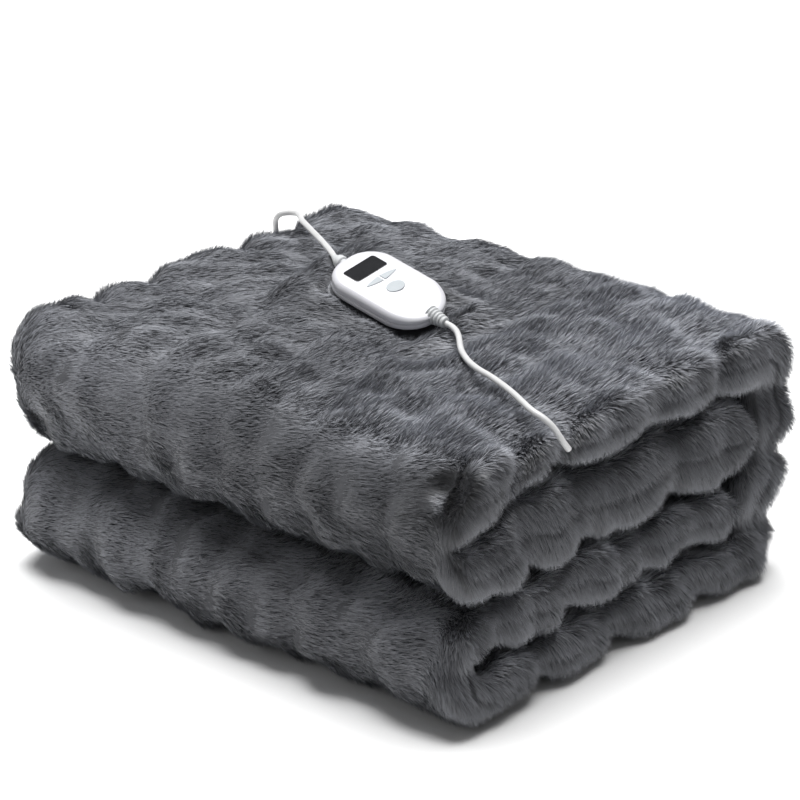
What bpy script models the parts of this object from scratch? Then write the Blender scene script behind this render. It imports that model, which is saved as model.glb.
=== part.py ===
"""A folded electric heated blanket of ruched faux fur, with its controller, leads and plug.

Metres, +Z up. The long front folds face -Y, the rounded side edges of the plies face +X and -X,
and the origin is under the middle of the folded blanket, on the surface that it lies on.
"""

import math
from collections import namedtuple

import bmesh
import bpy
import numpy as np
from mathutils import Matrix, Vector

for stale in list(bpy.context.scene.objects):
    bpy.data.objects.remove(stale, do_unlink=True)

# ---------------------------------------------------------------- driving dimensions (metres)

CLEAR = 0.0003                  # gap between pieces that touch

BLANKET_WIDTH = 0.586           # from side edge to side edge, along X
BLANKET_FRONT = -0.2675         # front folds, along Y
BLANKET_BACK = 0.2675           # back bend, along Y

Ply = namedtuple("Ply", "low high")
BOTTOM_PLY = Ply(low=0.0000, high=0.0580)
THIRD_PLY = Ply(low=0.0630, high=0.1210)
SECOND_PLY = Ply(low=0.1260, high=0.2070)
TOP_PLY = Ply(low=0.2130, high=0.2700)

FOLD_REACH = 0.072              # how far a front fold bulges in front of where its plies part
BACK_TOP_RADIUS = 0.070         # outer radius of the back bend at the top
BACK_LOW_RADIUS = 0.050         # outer radius of the back bend at the bottom
BACK_THICKNESS = 0.078          # of the cloth that runs down the back
BACK_STEP = 0.010               # how far the lower half of the back lies inside the upper half
INNER_RADIUS = 0.006            # inner radius of the back bends
BACK_CREASE = 0.016             # depth of the crease half way up the back
BACK_CREASE_HEIGHT = 0.135
END_GAP = 0.005                 # between a free end and the cloth that runs down the back
END_LENGTH = 0.034              # length over which a free end rounds off

RIM_DEPTH = 0.024               # how far in from the side edges the plies round off
UPPER_GAP_REACH = 0.034         # thickness of the upper fold in front of the gap in it
UPPER_GAP_DROOP = 0.019         # how far that gap drops where it runs on into the fold
RIM_FULLNESS = 0.60             # 1 gives an elliptical edge, less a fuller one
RUCHE_PITCH = 0.094             # between the gathered lines that run round the folds
RUCHE_OFFSET = -0.013           # X of the gathered line nearest the middle
GATHER_SOFTNESS = 0.016         # half width of a gathered line

CONTROLLER_LENGTH = 0.1210
CONTROLLER_WIDTH = 0.0735
CONTROLLER_HEIGHT = 0.0195
CONTROLLER_CORNERS = (0.036, 0.0312)    # corner radii at the blanket lead's end and at the other
PARTING_HEIGHT = 0.0085         # where the controller's two shells meet
FACE_DROOP = 0.0050             # how far the face slopes down towards the blanket lead
FACE_DROOP_SPAN = (0.020, 0.060)        # where along the controller it does so
CONTROLLER_CENTRE = (-0.0112, -0.0002, 0.2810) # middle of its underside
CONTROLLER_HEADING = -1.8       # degrees from +X, seen from above
CONTROLLER_LEAN = 16.0          # degrees that its face leans towards the front right corner
LEAN_AXIS = 43.9                # degrees from +X of the level line that it leans about
RELIEF_HEIGHT = 0.0098          # of the strain reliefs' axis over the controller's underside

CORD_DIAMETER = 0.006
MAINS_RELIEF_LENGTH = 0.020
MAINS_RELIEF_BEND = 41.1        # degrees that this relief turns the mains lead through
MAINS_RELIEF_ROLL = -35.6       # degrees that its turn is rolled out of the controller's plane
LEAD_RELIEF_LENGTH = 0.0200
LEAD_RELIEF_SEAT = 0.0070       # how deep its root sits in a notch of the two shells
LEAD_RELIEF_ROOT = 0.0088       # radius of its root

COIL_CENTRE = (-0.349, 0.055)   # on the floor behind the left side
COIL_RADIUS = 0.034             # to the middle of its turns
COIL_TURNS_ACROSS = 3           # turns side by side, in two layers
CORD_PITCH = 0.0061             # between turns that touch

PLUG_LENGTH = 0.034
PLUG_WIDTH = 0.0353
PLUG_THICKNESS = 0.0137
PLUG_TAPER = 0.020              # tapered neck that the cord goes into
PLUG_PLACE = (-0.335, -0.055)   # where the cord goes into its neck, which points along -Y
PIN_SPACING = 0.0186
PIN_DIAMETER = 0.0040
PIN_LENGTH = 0.019
PIN_CHAMFER = 0.001

COLOURS = {
    "fur": (0.112, 0.117, 0.127, 1.0),
    "white": (0.80, 0.80, 0.82, 1.0),
    "cord": (0.74, 0.74, 0.74, 1.0),
    "relief": (0.62, 0.64, 0.66, 1.0),
    "button": (0.48, 0.51, 0.53, 1.0),
    "display": (0.012, 0.012, 0.014, 1.0),
    "brass": (0.62, 0.60, 0.56, 1.0),
}

# ---------------------------------------------------------------- materials and small helpers


def plain_material(name, colour, roughness, metallic=0.0):
    """A Principled material of one colour."""
    material = bpy.data.materials.new(name)
    material.use_nodes = True
    shader = material.node_tree.nodes["Principled BSDF"]
    shader.inputs["Base Color"].default_value = colour
    shader.inputs["Roughness"].default_value = roughness
    shader.inputs["Metallic"].default_value = metallic
    material.diffuse_color = colour
    return material


def add_object(name, mesh, material):
    """Link a mesh to the scene as one named piece."""
    piece = bpy.data.objects.new(name, mesh)
    piece.data.materials.append(material)
    bpy.context.scene.collection.objects.link(piece)
    return piece


def smooth_step(low, high, value):
    """0 below low, 1 above high, and a smooth rise between."""
    t = np.clip((np.asarray(value, dtype=float) - low) / (high - low), 0.0, 1.0)
    return t * t * (3.0 - 2.0 * t)


# ---------------------------------------------------------------- blanket: the folded section
# A row is a pair of points across the cloth, (y, z) on its outer side and on its inner side.
# The rows run from the free end of the second ply, forward, round the upper front fold, back along
# the top, down the back, forward along the bottom, round the lower front fold and back to the other
# free end, over the third ply.

Row = namedtuple("Row", "leg outer inner")


def straight_rows(leg, outer_ends, inner_ends, height_pair, count):
    """Rows along a level ply, both ends left out."""
    rows = []
    for step in range(1, count):
        t = step / count
        outer_y = outer_ends[0] + (outer_ends[1] - outer_ends[0]) * t
        inner_y = inner_ends[0] + (inner_ends[1] - inner_ends[0]) * t
        rows.append(Row(leg, (outer_y, height_pair[0]), (inner_y, height_pair[1])))
    return rows


def bend_rows(leg, centre, radii, degrees, inner_centre, inner_radius, count):
    """Rows round a bend, both ends taken in."""
    rows = []
    for step in range(count + 1):
        angle = math.radians(degrees[0] + (degrees[1] - degrees[0]) * step / count)
        outer = (centre[0] + radii[0] * math.cos(angle), centre[1] + radii[1] * math.sin(angle))
        inner = (inner_centre[0] + inner_radius * math.cos(angle),
                 inner_centre[1] + inner_radius * math.sin(angle))
        rows.append(Row(leg, outer, inner))
    return rows


def free_end_rows(leg, end_y, ply, outer_side, count):
    """Rows from the tip of a free end to its full thickness."""
    middle = (ply.low + ply.high) / 2
    half = (ply.high - ply.low) / 2
    rows = []
    for step in range(count + 1):
        angle = math.radians(14 + 76 * step / count)
        y = end_y - END_LENGTH * (1.0 - math.cos(angle))
        reach = half * math.sin(angle) * outer_side
        rows.append(Row(leg, (y, middle + reach), (y, middle - reach)))
    return rows


def back_outer_y(z):
    """The outside of the cloth that runs down the back, with its step and its crease."""
    step = BACK_STEP * (1.0 - smooth_step(BACK_CREASE_HEIGHT - 0.02, BACK_CREASE_HEIGHT + 0.02, z))
    crease = BACK_CREASE * math.exp(-((z - BACK_CREASE_HEIGHT) / 0.013) ** 2)
    return BLANKET_BACK - float(step) - crease


def section_rows(detail):
    """All rows of the folded section; detail is about the spacing of the rows in metres."""
    upper_centre = (BLANKET_FRONT + FOLD_REACH, (SECOND_PLY.low + TOP_PLY.high) / 2)
    upper_gap = (BLANKET_FRONT + UPPER_GAP_REACH, (SECOND_PLY.high + TOP_PLY.low) / 2)
    lower_centre = (BLANKET_FRONT + FOLD_REACH, (BOTTOM_PLY.low + THIRD_PLY.high) / 2)
    lower_gap = (lower_centre[0], (BOTTOM_PLY.high + THIRD_PLY.low) / 2)
    wall_high = BLANKET_BACK - BACK_THICKNESS
    wall_low = wall_high - BACK_STEP - 0.006
    second_end = wall_high - END_GAP
    third_end = wall_low - END_GAP
    back_high = TOP_PLY.high - BACK_TOP_RADIUS
    low_corner = (BLANKET_BACK - BACK_STEP - BACK_LOW_RADIUS, BACK_LOW_RADIUS)

    run = upper_centre[0]
    level = max(6, round(0.36 / detail))
    round_fold = max(6, round(0.22 / detail))
    tip = max(3, round(0.04 / detail))
    corner = max(3, round(0.10 / detail))
    rise = max(8, round(0.13 / detail))

    rows = free_end_rows("second", second_end, SECOND_PLY, -1, tip)
    rows += straight_rows("second", (second_end - END_LENGTH, run),
                          (second_end - END_LENGTH, upper_gap[0]),
                          (SECOND_PLY.low, SECOND_PLY.high), level)
    rows += bend_rows("upper fold", upper_centre, (FOLD_REACH, (TOP_PLY.high - SECOND_PLY.low) / 2),
                      (-90, -270), upper_gap, (TOP_PLY.low - SECOND_PLY.high) / 2, round_fold)
    rows += straight_rows("top", (run, BLANKET_BACK - BACK_TOP_RADIUS),
                          (upper_gap[0], wall_high - INNER_RADIUS),
                          (TOP_PLY.high, TOP_PLY.low), level)
    rows += bend_rows("back", (BLANKET_BACK - BACK_TOP_RADIUS, back_high),
                      (BACK_TOP_RADIUS, BACK_TOP_RADIUS), (90, 0),
                      (wall_high - INNER_RADIUS, TOP_PLY.low - INNER_RADIUS), INNER_RADIUS, corner)
    inner_high = TOP_PLY.low - INNER_RADIUS
    inner_low = BOTTOM_PLY.high + INNER_RADIUS
    for step in range(1, rise):
        t = step / rise
        z = back_high + (BACK_LOW_RADIUS - back_high) * t
        inner_z = inner_high + (inner_low - inner_high) * t
        inner_y = wall_low + (wall_high - wall_low) * float(
            smooth_step(THIRD_PLY.high - 0.010, SECOND_PLY.low + 0.010, inner_z))
        rows.append(Row("back", (back_outer_y(z), z), (inner_y, inner_z)))
    rows += bend_rows("back", low_corner, (BACK_LOW_RADIUS, BACK_LOW_RADIUS), (0, -90),
                      (wall_low - INNER_RADIUS, inner_low), INNER_RADIUS, corner)
    rows += straight_rows("bottom", (low_corner[0], run), (wall_low - INNER_RADIUS, run),
                          (BOTTOM_PLY.low, BOTTOM_PLY.high), level)
    rows += bend_rows("lower fold", lower_centre,
                      (FOLD_REACH, (THIRD_PLY.high - BOTTOM_PLY.low) / 2), (-90, -270),
                      lower_gap, (THIRD_PLY.low - BOTTOM_PLY.high) / 2, round_fold)
    rows += straight_rows("third", (run, third_end - END_LENGTH), (run, third_end - END_LENGTH),
                          (THIRD_PLY.high, THIRD_PLY.low), level)
    rows += free_end_rows("third", third_end, THIRD_PLY, 1, tip)[::-1]
    return rows


# ---------------------------------------------------------------- blanket: ruching and lobes
# The side edges show a row of soft lobes on each ply. A lobe ends at a tuck, given by its place
# along the leg: Y on a level ply, Z on the back, degrees on a fold.

Tuck = namedtuple("Tuck", "leg at depth")
TUCKS = (
    Tuck("second", 0.070, 0.013),
    Tuck("second", -0.055, 0.013),
    Tuck("second", -0.145, 0.012),
    Tuck("upper fold", -170, 0.018),
    Tuck("top", -0.155, 0.018),
    Tuck("top", -0.098, 0.022),
    Tuck("top", 0.045, 0.014),
    Tuck("top", 0.138, 0.014),
    Tuck("back", 0.200, 0.010),
    Tuck("back", 0.135, 0.006),
    Tuck("back", 0.060, 0.012),
    Tuck("bottom", 0.105, 0.012),
    Tuck("bottom", -0.015, 0.012),
    Tuck("bottom", -0.120, 0.012),
    Tuck("lower fold", -190, 0.008),
    Tuck("third", -0.185, 0.014),
    Tuck("third", -0.080, 0.013),
    Tuck("third", 0.030, 0.013),
    Tuck("third", 0.105, 0.012),
)
LEFT_BULGE = 0.006              # how much wider the left side is near the front
RIGHT_BULGE = 0.003             # how much wider the right side is near the back
BACK_CORNER_RISE = 0.004        # how far the top rises to its back right corner
TOP_CROWN = 0.004               # how much higher the top is in the middle than at its side edges
EDGE_LIFT = 0.8                 # share of a tuck's depth that the lowest edges lift off the floor
LEFT_TUCK_DEPTH = 0.011         # the deepest that a tuck draws in the left side edge
LOBE_SAG = 0.008                # how far a ply rides up at its tucks and sags between them
GATHER_DEPTH = {"second": 0.0, "upper fold": 0.0075, "top": 0.0040, "back": 0.0065,
                "bottom": 0.0060, "lower fold": 0.0075, "third": 0.0}
TUCK_SPREAD = 0.35              # share of a tuck's depth that runs on across the cloth

PUCKER = (0.262, -0.248, 0.244)         # where the upper fold's end draws together
PUCKER_DEPTH = 0.014
PUCKER_RADIUS = 0.018
PUCKER_HEADING = (-0.62, 0.70, -0.35)   # inward, to the back left and down


def cusp(distance, softness):
    """1 on a gathered line and falling away quickly on both sides, with a rounded peak."""
    rounding = 0.35 * softness
    return np.exp(-(np.sqrt(distance ** 2 + rounding ** 2) - rounding) / softness)


def fold_degrees(row):
    """Where a row of a front fold lies on its bend, from -90 below to -270 above."""
    plies = (SECOND_PLY, TOP_PLY) if row.leg == "upper fold" else (BOTTOM_PLY, THIRD_PLY)
    centre_z = (plies[0].low + plies[1].high) / 2
    degrees = math.degrees(math.atan2(row.outer[1] - centre_z,
                                      row.outer[0] - BLANKET_FRONT - FOLD_REACH))
    return degrees - 360 if degrees > 0 else degrees


def place_on_leg(row):
    """The measure that a tuck's place is given in, for this row."""
    if "fold" in row.leg:
        return fold_degrees(row)
    if row.leg == "back":
        return row.outer[1]
    return (row.outer[0] + row.inner[0]) / 2


def tuck_paths(rows, path):
    """The path length at which each tuck crosses the cloth."""
    places = []
    for tuck in TUCKS:
        misses = [abs(place_on_leg(row) - tuck.at) if row.leg == tuck.leg else math.inf
                  for row in rows]
        nearest = int(np.argmin(misses))
        places.append(path[nearest])
    return np.array(places)


def shown_share(rows):
    """1 where the outer side is free to bulge, 0 where it lies on another ply or the floor."""
    share = []
    for row in rows:
        y = row.outer[0]
        if row.leg in ("second", "third"):
            share.append(0.0)
        elif row.leg == "upper fold":
            share.append(float(smooth_step(95, 140, -fold_degrees(row))))
        elif row.leg == "lower fold":
            share.append(1.0 - float(smooth_step(220, 265, -fold_degrees(row))))
        elif row.leg == "bottom":
            run = BLANKET_FRONT + FOLD_REACH
            share.append(1.0 - float(smooth_step(run, run + 0.045, y)))
        else:
            share.append(1.0)
    return np.array(share)


def sag_wave(leg, y, x):
    """How far the cloth under a leg rides up (+) at its tucks or sags (-) between them."""
    wave = np.zeros(np.broadcast(y, x).shape)
    for tuck in TUCKS:
        if tuck.leg == leg:
            sway = 0.012 * np.sin(x / 0.09 + 40.0 * tuck.at)
            wave = np.maximum(wave, cusp(y - tuck.at - sway * (1 - smooth_step(0.15, 0.26, x)),
                                         0.030))
    start = BLANKET_FRONT + FOLD_REACH
    window = smooth_step(start, start + 0.030, y) * (1.0 - smooth_step(0.125, 0.150, y))
    near_edge = 0.4 + 0.6 * smooth_step(0.13, 0.25, np.abs(x))
    shift = LOBE_SAG * (wave - 0.45) * window * near_edge
    if leg == "top":
        shift = shift - UPPER_GAP_DROOP * (1.0 - smooth_step(start + 0.010, start + 0.050, y))
    return shift


def blanket_points(detail, columns, rim_columns, softness):
    """Outer and inner points of the blanket, [row, column, xyz], pressed down by what lies on it."""
    rows = section_rows(detail)
    legs = [row.leg for row in rows]
    outer = np.array([row.outer for row in rows])
    inner = np.array([row.inner for row in rows])
    middle = (outer + inner) / 2
    path = np.concatenate([[0.0], np.cumsum(np.linalg.norm(np.diff(middle, axis=0), axis=1))])
    places = tuck_paths(rows, path)
    depths = np.array([tuck.depth for tuck in TUCKS])

    # How far each row's side edges are drawn in by the tucks: less on the left than on the right.
    drawn = np.max(depths * cusp(path[:, None] - places, softness), axis=1)[:, None]
    half_right = BLANKET_WIDTH / 2 - drawn
    half_left = BLANKET_WIDTH / 2 - np.minimum(drawn, LEFT_TUCK_DEPTH)
    half_left += LEFT_BULGE * (1.0 - smooth_step(-0.15, 0.0, middle[:, :1]))
    half_right += RIGHT_BULGE * smooth_step(0.0, 0.15, middle[:, :1])

    # Columns across the cloth: level over the middle, closing to a rounded edge at both sides.
    core = np.linspace(-1.0, 1.0, columns)[None, :]
    rim = np.radians(np.linspace(0.0, 80.0, rim_columns + 1)[1:])[None, :]
    rounding = RIM_DEPTH * (1.0 - np.sin(rim))
    x_core = core * (np.where(core > 0, half_right, half_left) - RIM_DEPTH)
    x = np.hstack([rounding[:, ::-1] - half_left, x_core, half_right - rounding])
    narrowed = np.cos(rim[0]) ** RIM_FULLNESS
    closing = np.concatenate([narrowed[::-1], np.ones(columns), narrowed])[None, :]

    # Gathered lines run along the cloth, and tucks run on across it.
    along = path[:, None]
    wobble = 0.011 * np.sin(along / 0.060 + 1.1) + 0.006 * np.sin(along / 0.027 + 14.0 * x)
    phase = (x - RUCHE_OFFSET - wobble) / RUCHE_PITCH
    line = cusp(np.abs(phase - np.round(phase)) * RUCHE_PITCH, softness)
    meander = 0.020 * np.sin(x / 0.075 + 2.0) * (1.0 - smooth_step(0.16, 0.27, np.abs(x)))
    tuck_line = np.zeros(x.shape)
    for place, depth in zip(places, depths):
        tuck_line = np.maximum(tuck_line, depth * cusp(along - place - meander, 1.2 * softness))
    gather = np.array([GATHER_DEPTH[leg] for leg in legs])[:, None]
    uneven = 0.75 + 0.25 * np.sin(along / 0.045 + np.round(phase) * 2.4)
    edge = smooth_step(0.20, 0.275, np.abs(x))
    sunk = gather * uneven * line + tuck_line * (TUCK_SPREAD + (0.75 - TUCK_SPREAD) * edge)
    sunk = sunk * shown_share(rows)[:, None]

    tangent = np.gradient(outer, axis=0)
    tangent /= np.linalg.norm(tangent, axis=1)[:, None]
    normal = np.column_stack([-tangent[:, 1], tangent[:, 0]])
    outer_y = outer[:, :1] - normal[:, :1] * sunk
    outer_z = outer[:, 1:] - normal[:, 1:] * sunk
    inner_y = np.broadcast_to(inner[:, :1], x.shape).copy()
    inner_z = np.broadcast_to(inner[:, 1:], x.shape).copy()

    # Plies that lie on each other ride up and down together.
    for index, leg in enumerate(legs):
        if leg in ("second", "third"):
            outer_z[index] += sag_wave("second", outer[index, 0], x[index])
        if leg in ("second", "upper fold", "top"):
            inner_z[index] += sag_wave("top", inner[index, 0], x[index])
        if leg in ("bottom", "third"):
            inner_z[index] += sag_wave("third", inner[index, 0], x[index])
        if leg == "top":
            crown = TOP_CROWN * (1.0 - (x[index] / 0.29) ** 2)
            outer_z[index] += crown * smooth_step(-0.22, -0.08, outer[index, 0])
        if leg in ("top", "back"):
            far = smooth_step(-0.05, 0.15, outer[index, 0]) * smooth_step(0.20, 0.262, outer[index, 1])
            outer_z[index] += BACK_CORNER_RISE * x[index] / 0.29 * far

    # The edges of the lowest ply lift a little off the floor at its tucks.
    for index, leg in enumerate(legs):
        if leg == "bottom":
            lift = tuck_line[index] * smooth_step(0.225, 0.275, np.abs(x[index]))
            outer_z[index] += EDGE_LIFT * lift

    middle_y = (outer_y + inner_y) / 2
    middle_z = (outer_z + inner_z) / 2
    sides = []
    for y, z in ((outer_y, outer_z), (inner_y, inner_z)):
        sides.append(np.dstack([x, middle_y + (y - middle_y) * closing,
                                middle_z + (z - middle_z) * closing]))
    for side in sides:
        draw_in_pucker(side)
    press_top(sides[0], legs)
    sides[0][:, :, 2] = np.maximum(sides[0][:, :, 2], 0.0)
    return sides[0], sides[1]


def draw_in_pucker(points):
    """Pull the corner of the upper fold in where the cloth draws together."""
    centre = np.array(PUCKER)
    distance = np.linalg.norm(points - centre, axis=2)
    pull = PUCKER_DEPTH * np.exp(-(distance / PUCKER_RADIUS) ** 2)
    inward = np.array(PUCKER_HEADING) / np.linalg.norm(PUCKER_HEADING)
    points += pull[:, :, None] * inward


# ---------------------------------------------------------------- controller: its place

def controller_matrix():
    """From the controller's own frame (X to the mains lead's far side, Z up) to the world."""
    lean_line = math.radians(LEAN_AXIS)
    lean = Matrix.Rotation(math.radians(CONTROLLER_LEAN), 4,
                           Vector((math.cos(lean_line), math.sin(lean_line), 0.0)))
    heading = Matrix.Rotation(math.radians(CONTROLLER_HEADING), 4, "Z")
    return Matrix.Translation(Vector(CONTROLLER_CENTRE)) @ lean @ heading


CONTROLLER_PLACE = controller_matrix()
SEAT_MARGIN = 0.010             # flat bed around the controller's underside
SEAT_BLEND = 0.060              # over this distance the bed runs out into the fur
TROUGH_HALF_WIDTH = 0.016       # trough that a lead lies in: its flat bottom, its slope beside that
TROUGH_SLOPE = 0.7
TROUGH_CLEAR = 0.0012           # and how far it stays under the lead
LOWEST_TROUGH = 0.272           # a lead that is lower than this has left the top


def controller_point(x, y, z):
    """World place of a point given in the controller's own frame."""
    return CONTROLLER_PLACE @ Vector((x, y, z))


# ---------------------------------------------------------------- cords: their routes

LEAD_RELIEF_START = CONTROLLER_LENGTH / 2 - LEAD_RELIEF_SEAT + CLEAR
LEAD_EXIT_X = LEAD_RELIEF_START + LEAD_RELIEF_LENGTH + CLEAR


def mains_relief_arc(along):
    """Middle of the bent mains relief and its heading there, in the controller's own frame."""
    bend = math.radians(MAINS_RELIEF_BEND)
    roll = math.radians(MAINS_RELIEF_ROLL)
    angle = bend * along / MAINS_RELIEF_LENGTH
    out = Vector((-1.0, 0.0, 0.0))
    aside = Vector((0.0, math.cos(roll), math.sin(roll)))
    start = Vector((-CONTROLLER_LENGTH / 2 - CLEAR, 0.0, RELIEF_HEIGHT))
    radius = MAINS_RELIEF_LENGTH / bend
    middle = start + radius * (math.sin(angle) * out + (1.0 - math.cos(angle)) * aside)
    return middle, math.cos(angle) * out + math.sin(angle) * aside


def mains_exit(beyond):
    """World place on the mains lead, so far beyond the end of its relief."""
    middle, heading = mains_relief_arc(MAINS_RELIEF_LENGTH)
    return tuple(CONTROLLER_PLACE @ (middle + (CLEAR + beyond) * heading))


# Over the left side edge near the back, down to the floor and along it to the coil.
MAINS_LEAD_ROUTE = (
    mains_exit(0.0),
    mains_exit(0.003),
    mains_exit(0.006),
    (-0.1067, 0.0203, 0.3004),
    (-0.1216, 0.0315, 0.2982),
    (-0.1366, 0.0425, 0.2960),
    (-0.1517, 0.0533, 0.2938),
    (-0.1670, 0.0640, 0.2916),
    (-0.1823, 0.0746, 0.2894),
    (-0.1975, 0.0853, 0.2872),
    (-0.2128, 0.0959, 0.2851),
    (-0.2279, 0.1069, 0.2828),
    (-0.2418, 0.1191, 0.2802),
    (-0.2576, 0.1286, 0.2776),
    (-0.2756, 0.1287, 0.2732),
    (-0.2840, 0.1297, 0.2680),
    (-0.2915, 0.1340, 0.2600),
    (-0.2965, 0.1390, 0.2500),
    (-0.3000, 0.1430, 0.2350),
    (-0.3020, 0.1450, 0.2050),
    (-0.3030, 0.1430, 0.1500),
    (-0.3060, 0.1390, 0.0900),
    (-0.3060, 0.1360, 0.0480),
    (-0.3060, 0.1270, 0.0190),
    (-0.3060, 0.1080, 0.0045),
    (-0.3060, 0.0900, 0.0031),
    (-0.3060, 0.0783, 0.0031),
)

# Off the top of the coil, down to the floor and to the plug.
MAINS_TAIL_ROUTE = (
    (-0.3060, 0.0317, 0.0088),
    (-0.3068, 0.0150, 0.0070),
    (-0.3115, -0.0010, 0.0042),
    (-0.3205, -0.0170, 0.0036),
    (-0.3300, -0.0310, 0.0052),
    (PLUG_PLACE[0], PLUG_PLACE[1] + 0.0120, PLUG_THICKNESS / 2),
    (PLUG_PLACE[0], PLUG_PLACE[1] + 0.0060, PLUG_THICKNESS / 2),
    (PLUG_PLACE[0], PLUG_PLACE[1] + CLEAR, PLUG_THICKNESS / 2),
)

# Across the top ply and down the valley between two lobes of its edge, into the cloth.
BLANKET_LEAD_ROUTE = (
    tuple(controller_point(LEAD_EXIT_X, 0.0, RELIEF_HEIGHT)),
    tuple(controller_point(LEAD_EXIT_X + 0.003, 0.0, RELIEF_HEIGHT)),
    tuple(controller_point(LEAD_EXIT_X + 0.006, 0.0, RELIEF_HEIGHT)),
    (0.0778, -0.0064, 0.2740),
    (0.0892, -0.0153, 0.2743),
    (0.1011, -0.0273, 0.2749),
    (0.1122, -0.0391, 0.2756),
    (0.1238, -0.0499, 0.2761),
    (0.1365, -0.0594, 0.2764),
    (0.1474, -0.0658, 0.2762),
    (0.1632, -0.0724, 0.2760),
    (0.1796, -0.0773, 0.2760),
    (0.1956, -0.0833, 0.2760),
    (0.2113, -0.0900, 0.2761),
    (0.2269, -0.0971, 0.2758),
    (0.2422, -0.1046, 0.2752),
    (0.2568, -0.1101, 0.2735),
    (0.2701, -0.1095, 0.2692),
    (0.2784, -0.1064, 0.2621),
    (0.2826, -0.1028, 0.2536),
    (0.2838, -0.0970, 0.2450),
    (0.2835, -0.0900, 0.2370),
)


def smooth_route(route, step):
    """Points, about step apart, on the smooth curve through a route's own points."""
    knots = np.array(route, dtype=float)
    chord = np.sqrt(np.linalg.norm(np.diff(knots, axis=0), axis=1))
    slope = np.diff(knots, axis=0) / chord[:, None]
    before, after = chord[:-1, None], chord[1:, None]
    inside = (slope[:-1] * after + slope[1:] * before) / (before + after)
    tangent = np.vstack([slope[:1], inside, slope[-1:]])
    dense = []
    for index in range(len(knots) - 1):
        start, end, span = knots[index], knots[index + 1], chord[index]
        for part in np.linspace(0.0, 1.0, 24, endpoint=False):
            dense.append((2 * part ** 3 - 3 * part ** 2 + 1) * start
                         + (part ** 3 - 2 * part ** 2 + part) * span * tangent[index]
                         + (3 * part ** 2 - 2 * part ** 3) * end
                         + (part ** 3 - part ** 2) * span * tangent[index + 1])
    dense.append(knots[-1])
    dense = np.array(dense)
    length = np.concatenate([[0.0], np.cumsum(np.linalg.norm(np.diff(dense, axis=0), axis=1))])
    even = np.linspace(0.0, length[-1], max(2, round(length[-1] / step)) + 1)
    lead_in = 0.6 * CORD_DIAMETER       # short end pieces keep the ends square to the route
    even = np.concatenate([[0.0, lead_in], even[1:-1], [length[-1] - lead_in, length[-1]]])
    return np.column_stack([np.interp(even, length, dense[:, axis]) for axis in range(3)])


# ---------------------------------------------------------------- blanket: pressed and built


def press_top(points, legs):
    """Bed the controller and the leads in the top ply."""
    on_top = np.array([leg in ("top", "upper fold", "back") for leg in legs])
    place = np.array(CONTROLLER_PLACE)
    corner, along, across, up = place[:3, 3], place[:3, 0], place[:3, 1], place[:3, 2]
    top = points[on_top]
    x, y, z = top[:, :, 0], top[:, :, 1], top[:, :, 2]
    near_top = smooth_step(0.225, 0.245, z)
    plane = corner[2] - ((x - corner[0]) * up[0] + (y - corner[1]) * up[1]) / up[2]
    seat = plane - 2.0 * CLEAR
    flat = np.dstack([x, y, plane]) - corner
    reach_x = np.abs(flat @ along) - (CONTROLLER_LENGTH / 2 + LEAD_RELIEF_LENGTH)
    reach_y = np.abs(flat @ across) - CONTROLLER_WIDTH / 2
    outside = np.hypot(np.maximum(reach_x, 0.0), np.maximum(reach_y, 0.0))
    bed = 1.0 - smooth_step(SEAT_MARGIN, SEAT_MARGIN + SEAT_BLEND, outside)
    z = z + (seat - z) * bed * near_top
    for route in (BLANKET_LEAD_ROUTE, MAINS_LEAD_ROUTE):
        for x_at, y_at, z_at in smooth_route(route, 0.010):
            if z_at < LOWEST_TROUGH:
                continue
            distance = np.hypot(x - x_at, y - y_at)
            limit = (z_at - CORD_DIAMETER / 2 - TROUGH_CLEAR
                     + TROUGH_SLOPE * np.maximum(distance - TROUGH_HALF_WIDTH, 0.0))
            z = np.where(near_top > 0.0, np.minimum(z, limit), z)
    top[:, :, 2] = z
    points[on_top] = top


def add_blanket(material):
    """One closed solid: its rings run round the folded cloth, and its rounded edges close it."""
    outer, inner = blanket_points(detail=0.026, columns=23, rim_columns=3,
                                  softness=GATHER_SOFTNESS)
    ring = np.concatenate([outer, inner[::-1]], axis=0)
    count, columns = ring.shape[:2]
    half = outer.shape[0]
    faces = []
    for column in range(columns - 1):
        for index in range(count):
            following = (index + 1) % count
            faces.append((index * columns + column, index * columns + column + 1,
                          following * columns + column + 1, following * columns + column))
    for index in range(half - 1):
        for column, turn in ((0, 1), (columns - 1, -1)):
            corners = (index, index + 1, count - 2 - index, count - 1 - index)
            faces.append(tuple(corner * columns + column for corner in corners[::turn]))
    mesh = bpy.data.meshes.new("blanket")
    mesh.from_pydata(ring.reshape(-1, 3).tolist(), [], faces)
    mesh.validate()
    mesh.update()
    mesh.shade_smooth()
    return add_object("blanket", mesh, material)


# ---------------------------------------------------------------- controller

DISPLAY_X = -0.0326             # face pieces, measured in the controller's own frame
DISPLAY_SIZE = (0.0208, 0.0426)
DISPLAY_RADIUS = 0.0028
LENS_X = -0.0108                # the lens shape that two buttons share
LENS_LENGTH = 0.0401
LENS_WIDTH = 0.0072
LENS_SPLIT = 0.0022
OVAL_X = 0.0080
OVAL_SIZE = (0.0150, 0.0210)
POCKET_DEPTH = 0.0012           # of the pockets that the face pieces sit in
DISPLAY_PROUD = 0.0002
BUTTON_PROUD = 0.0007


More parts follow.
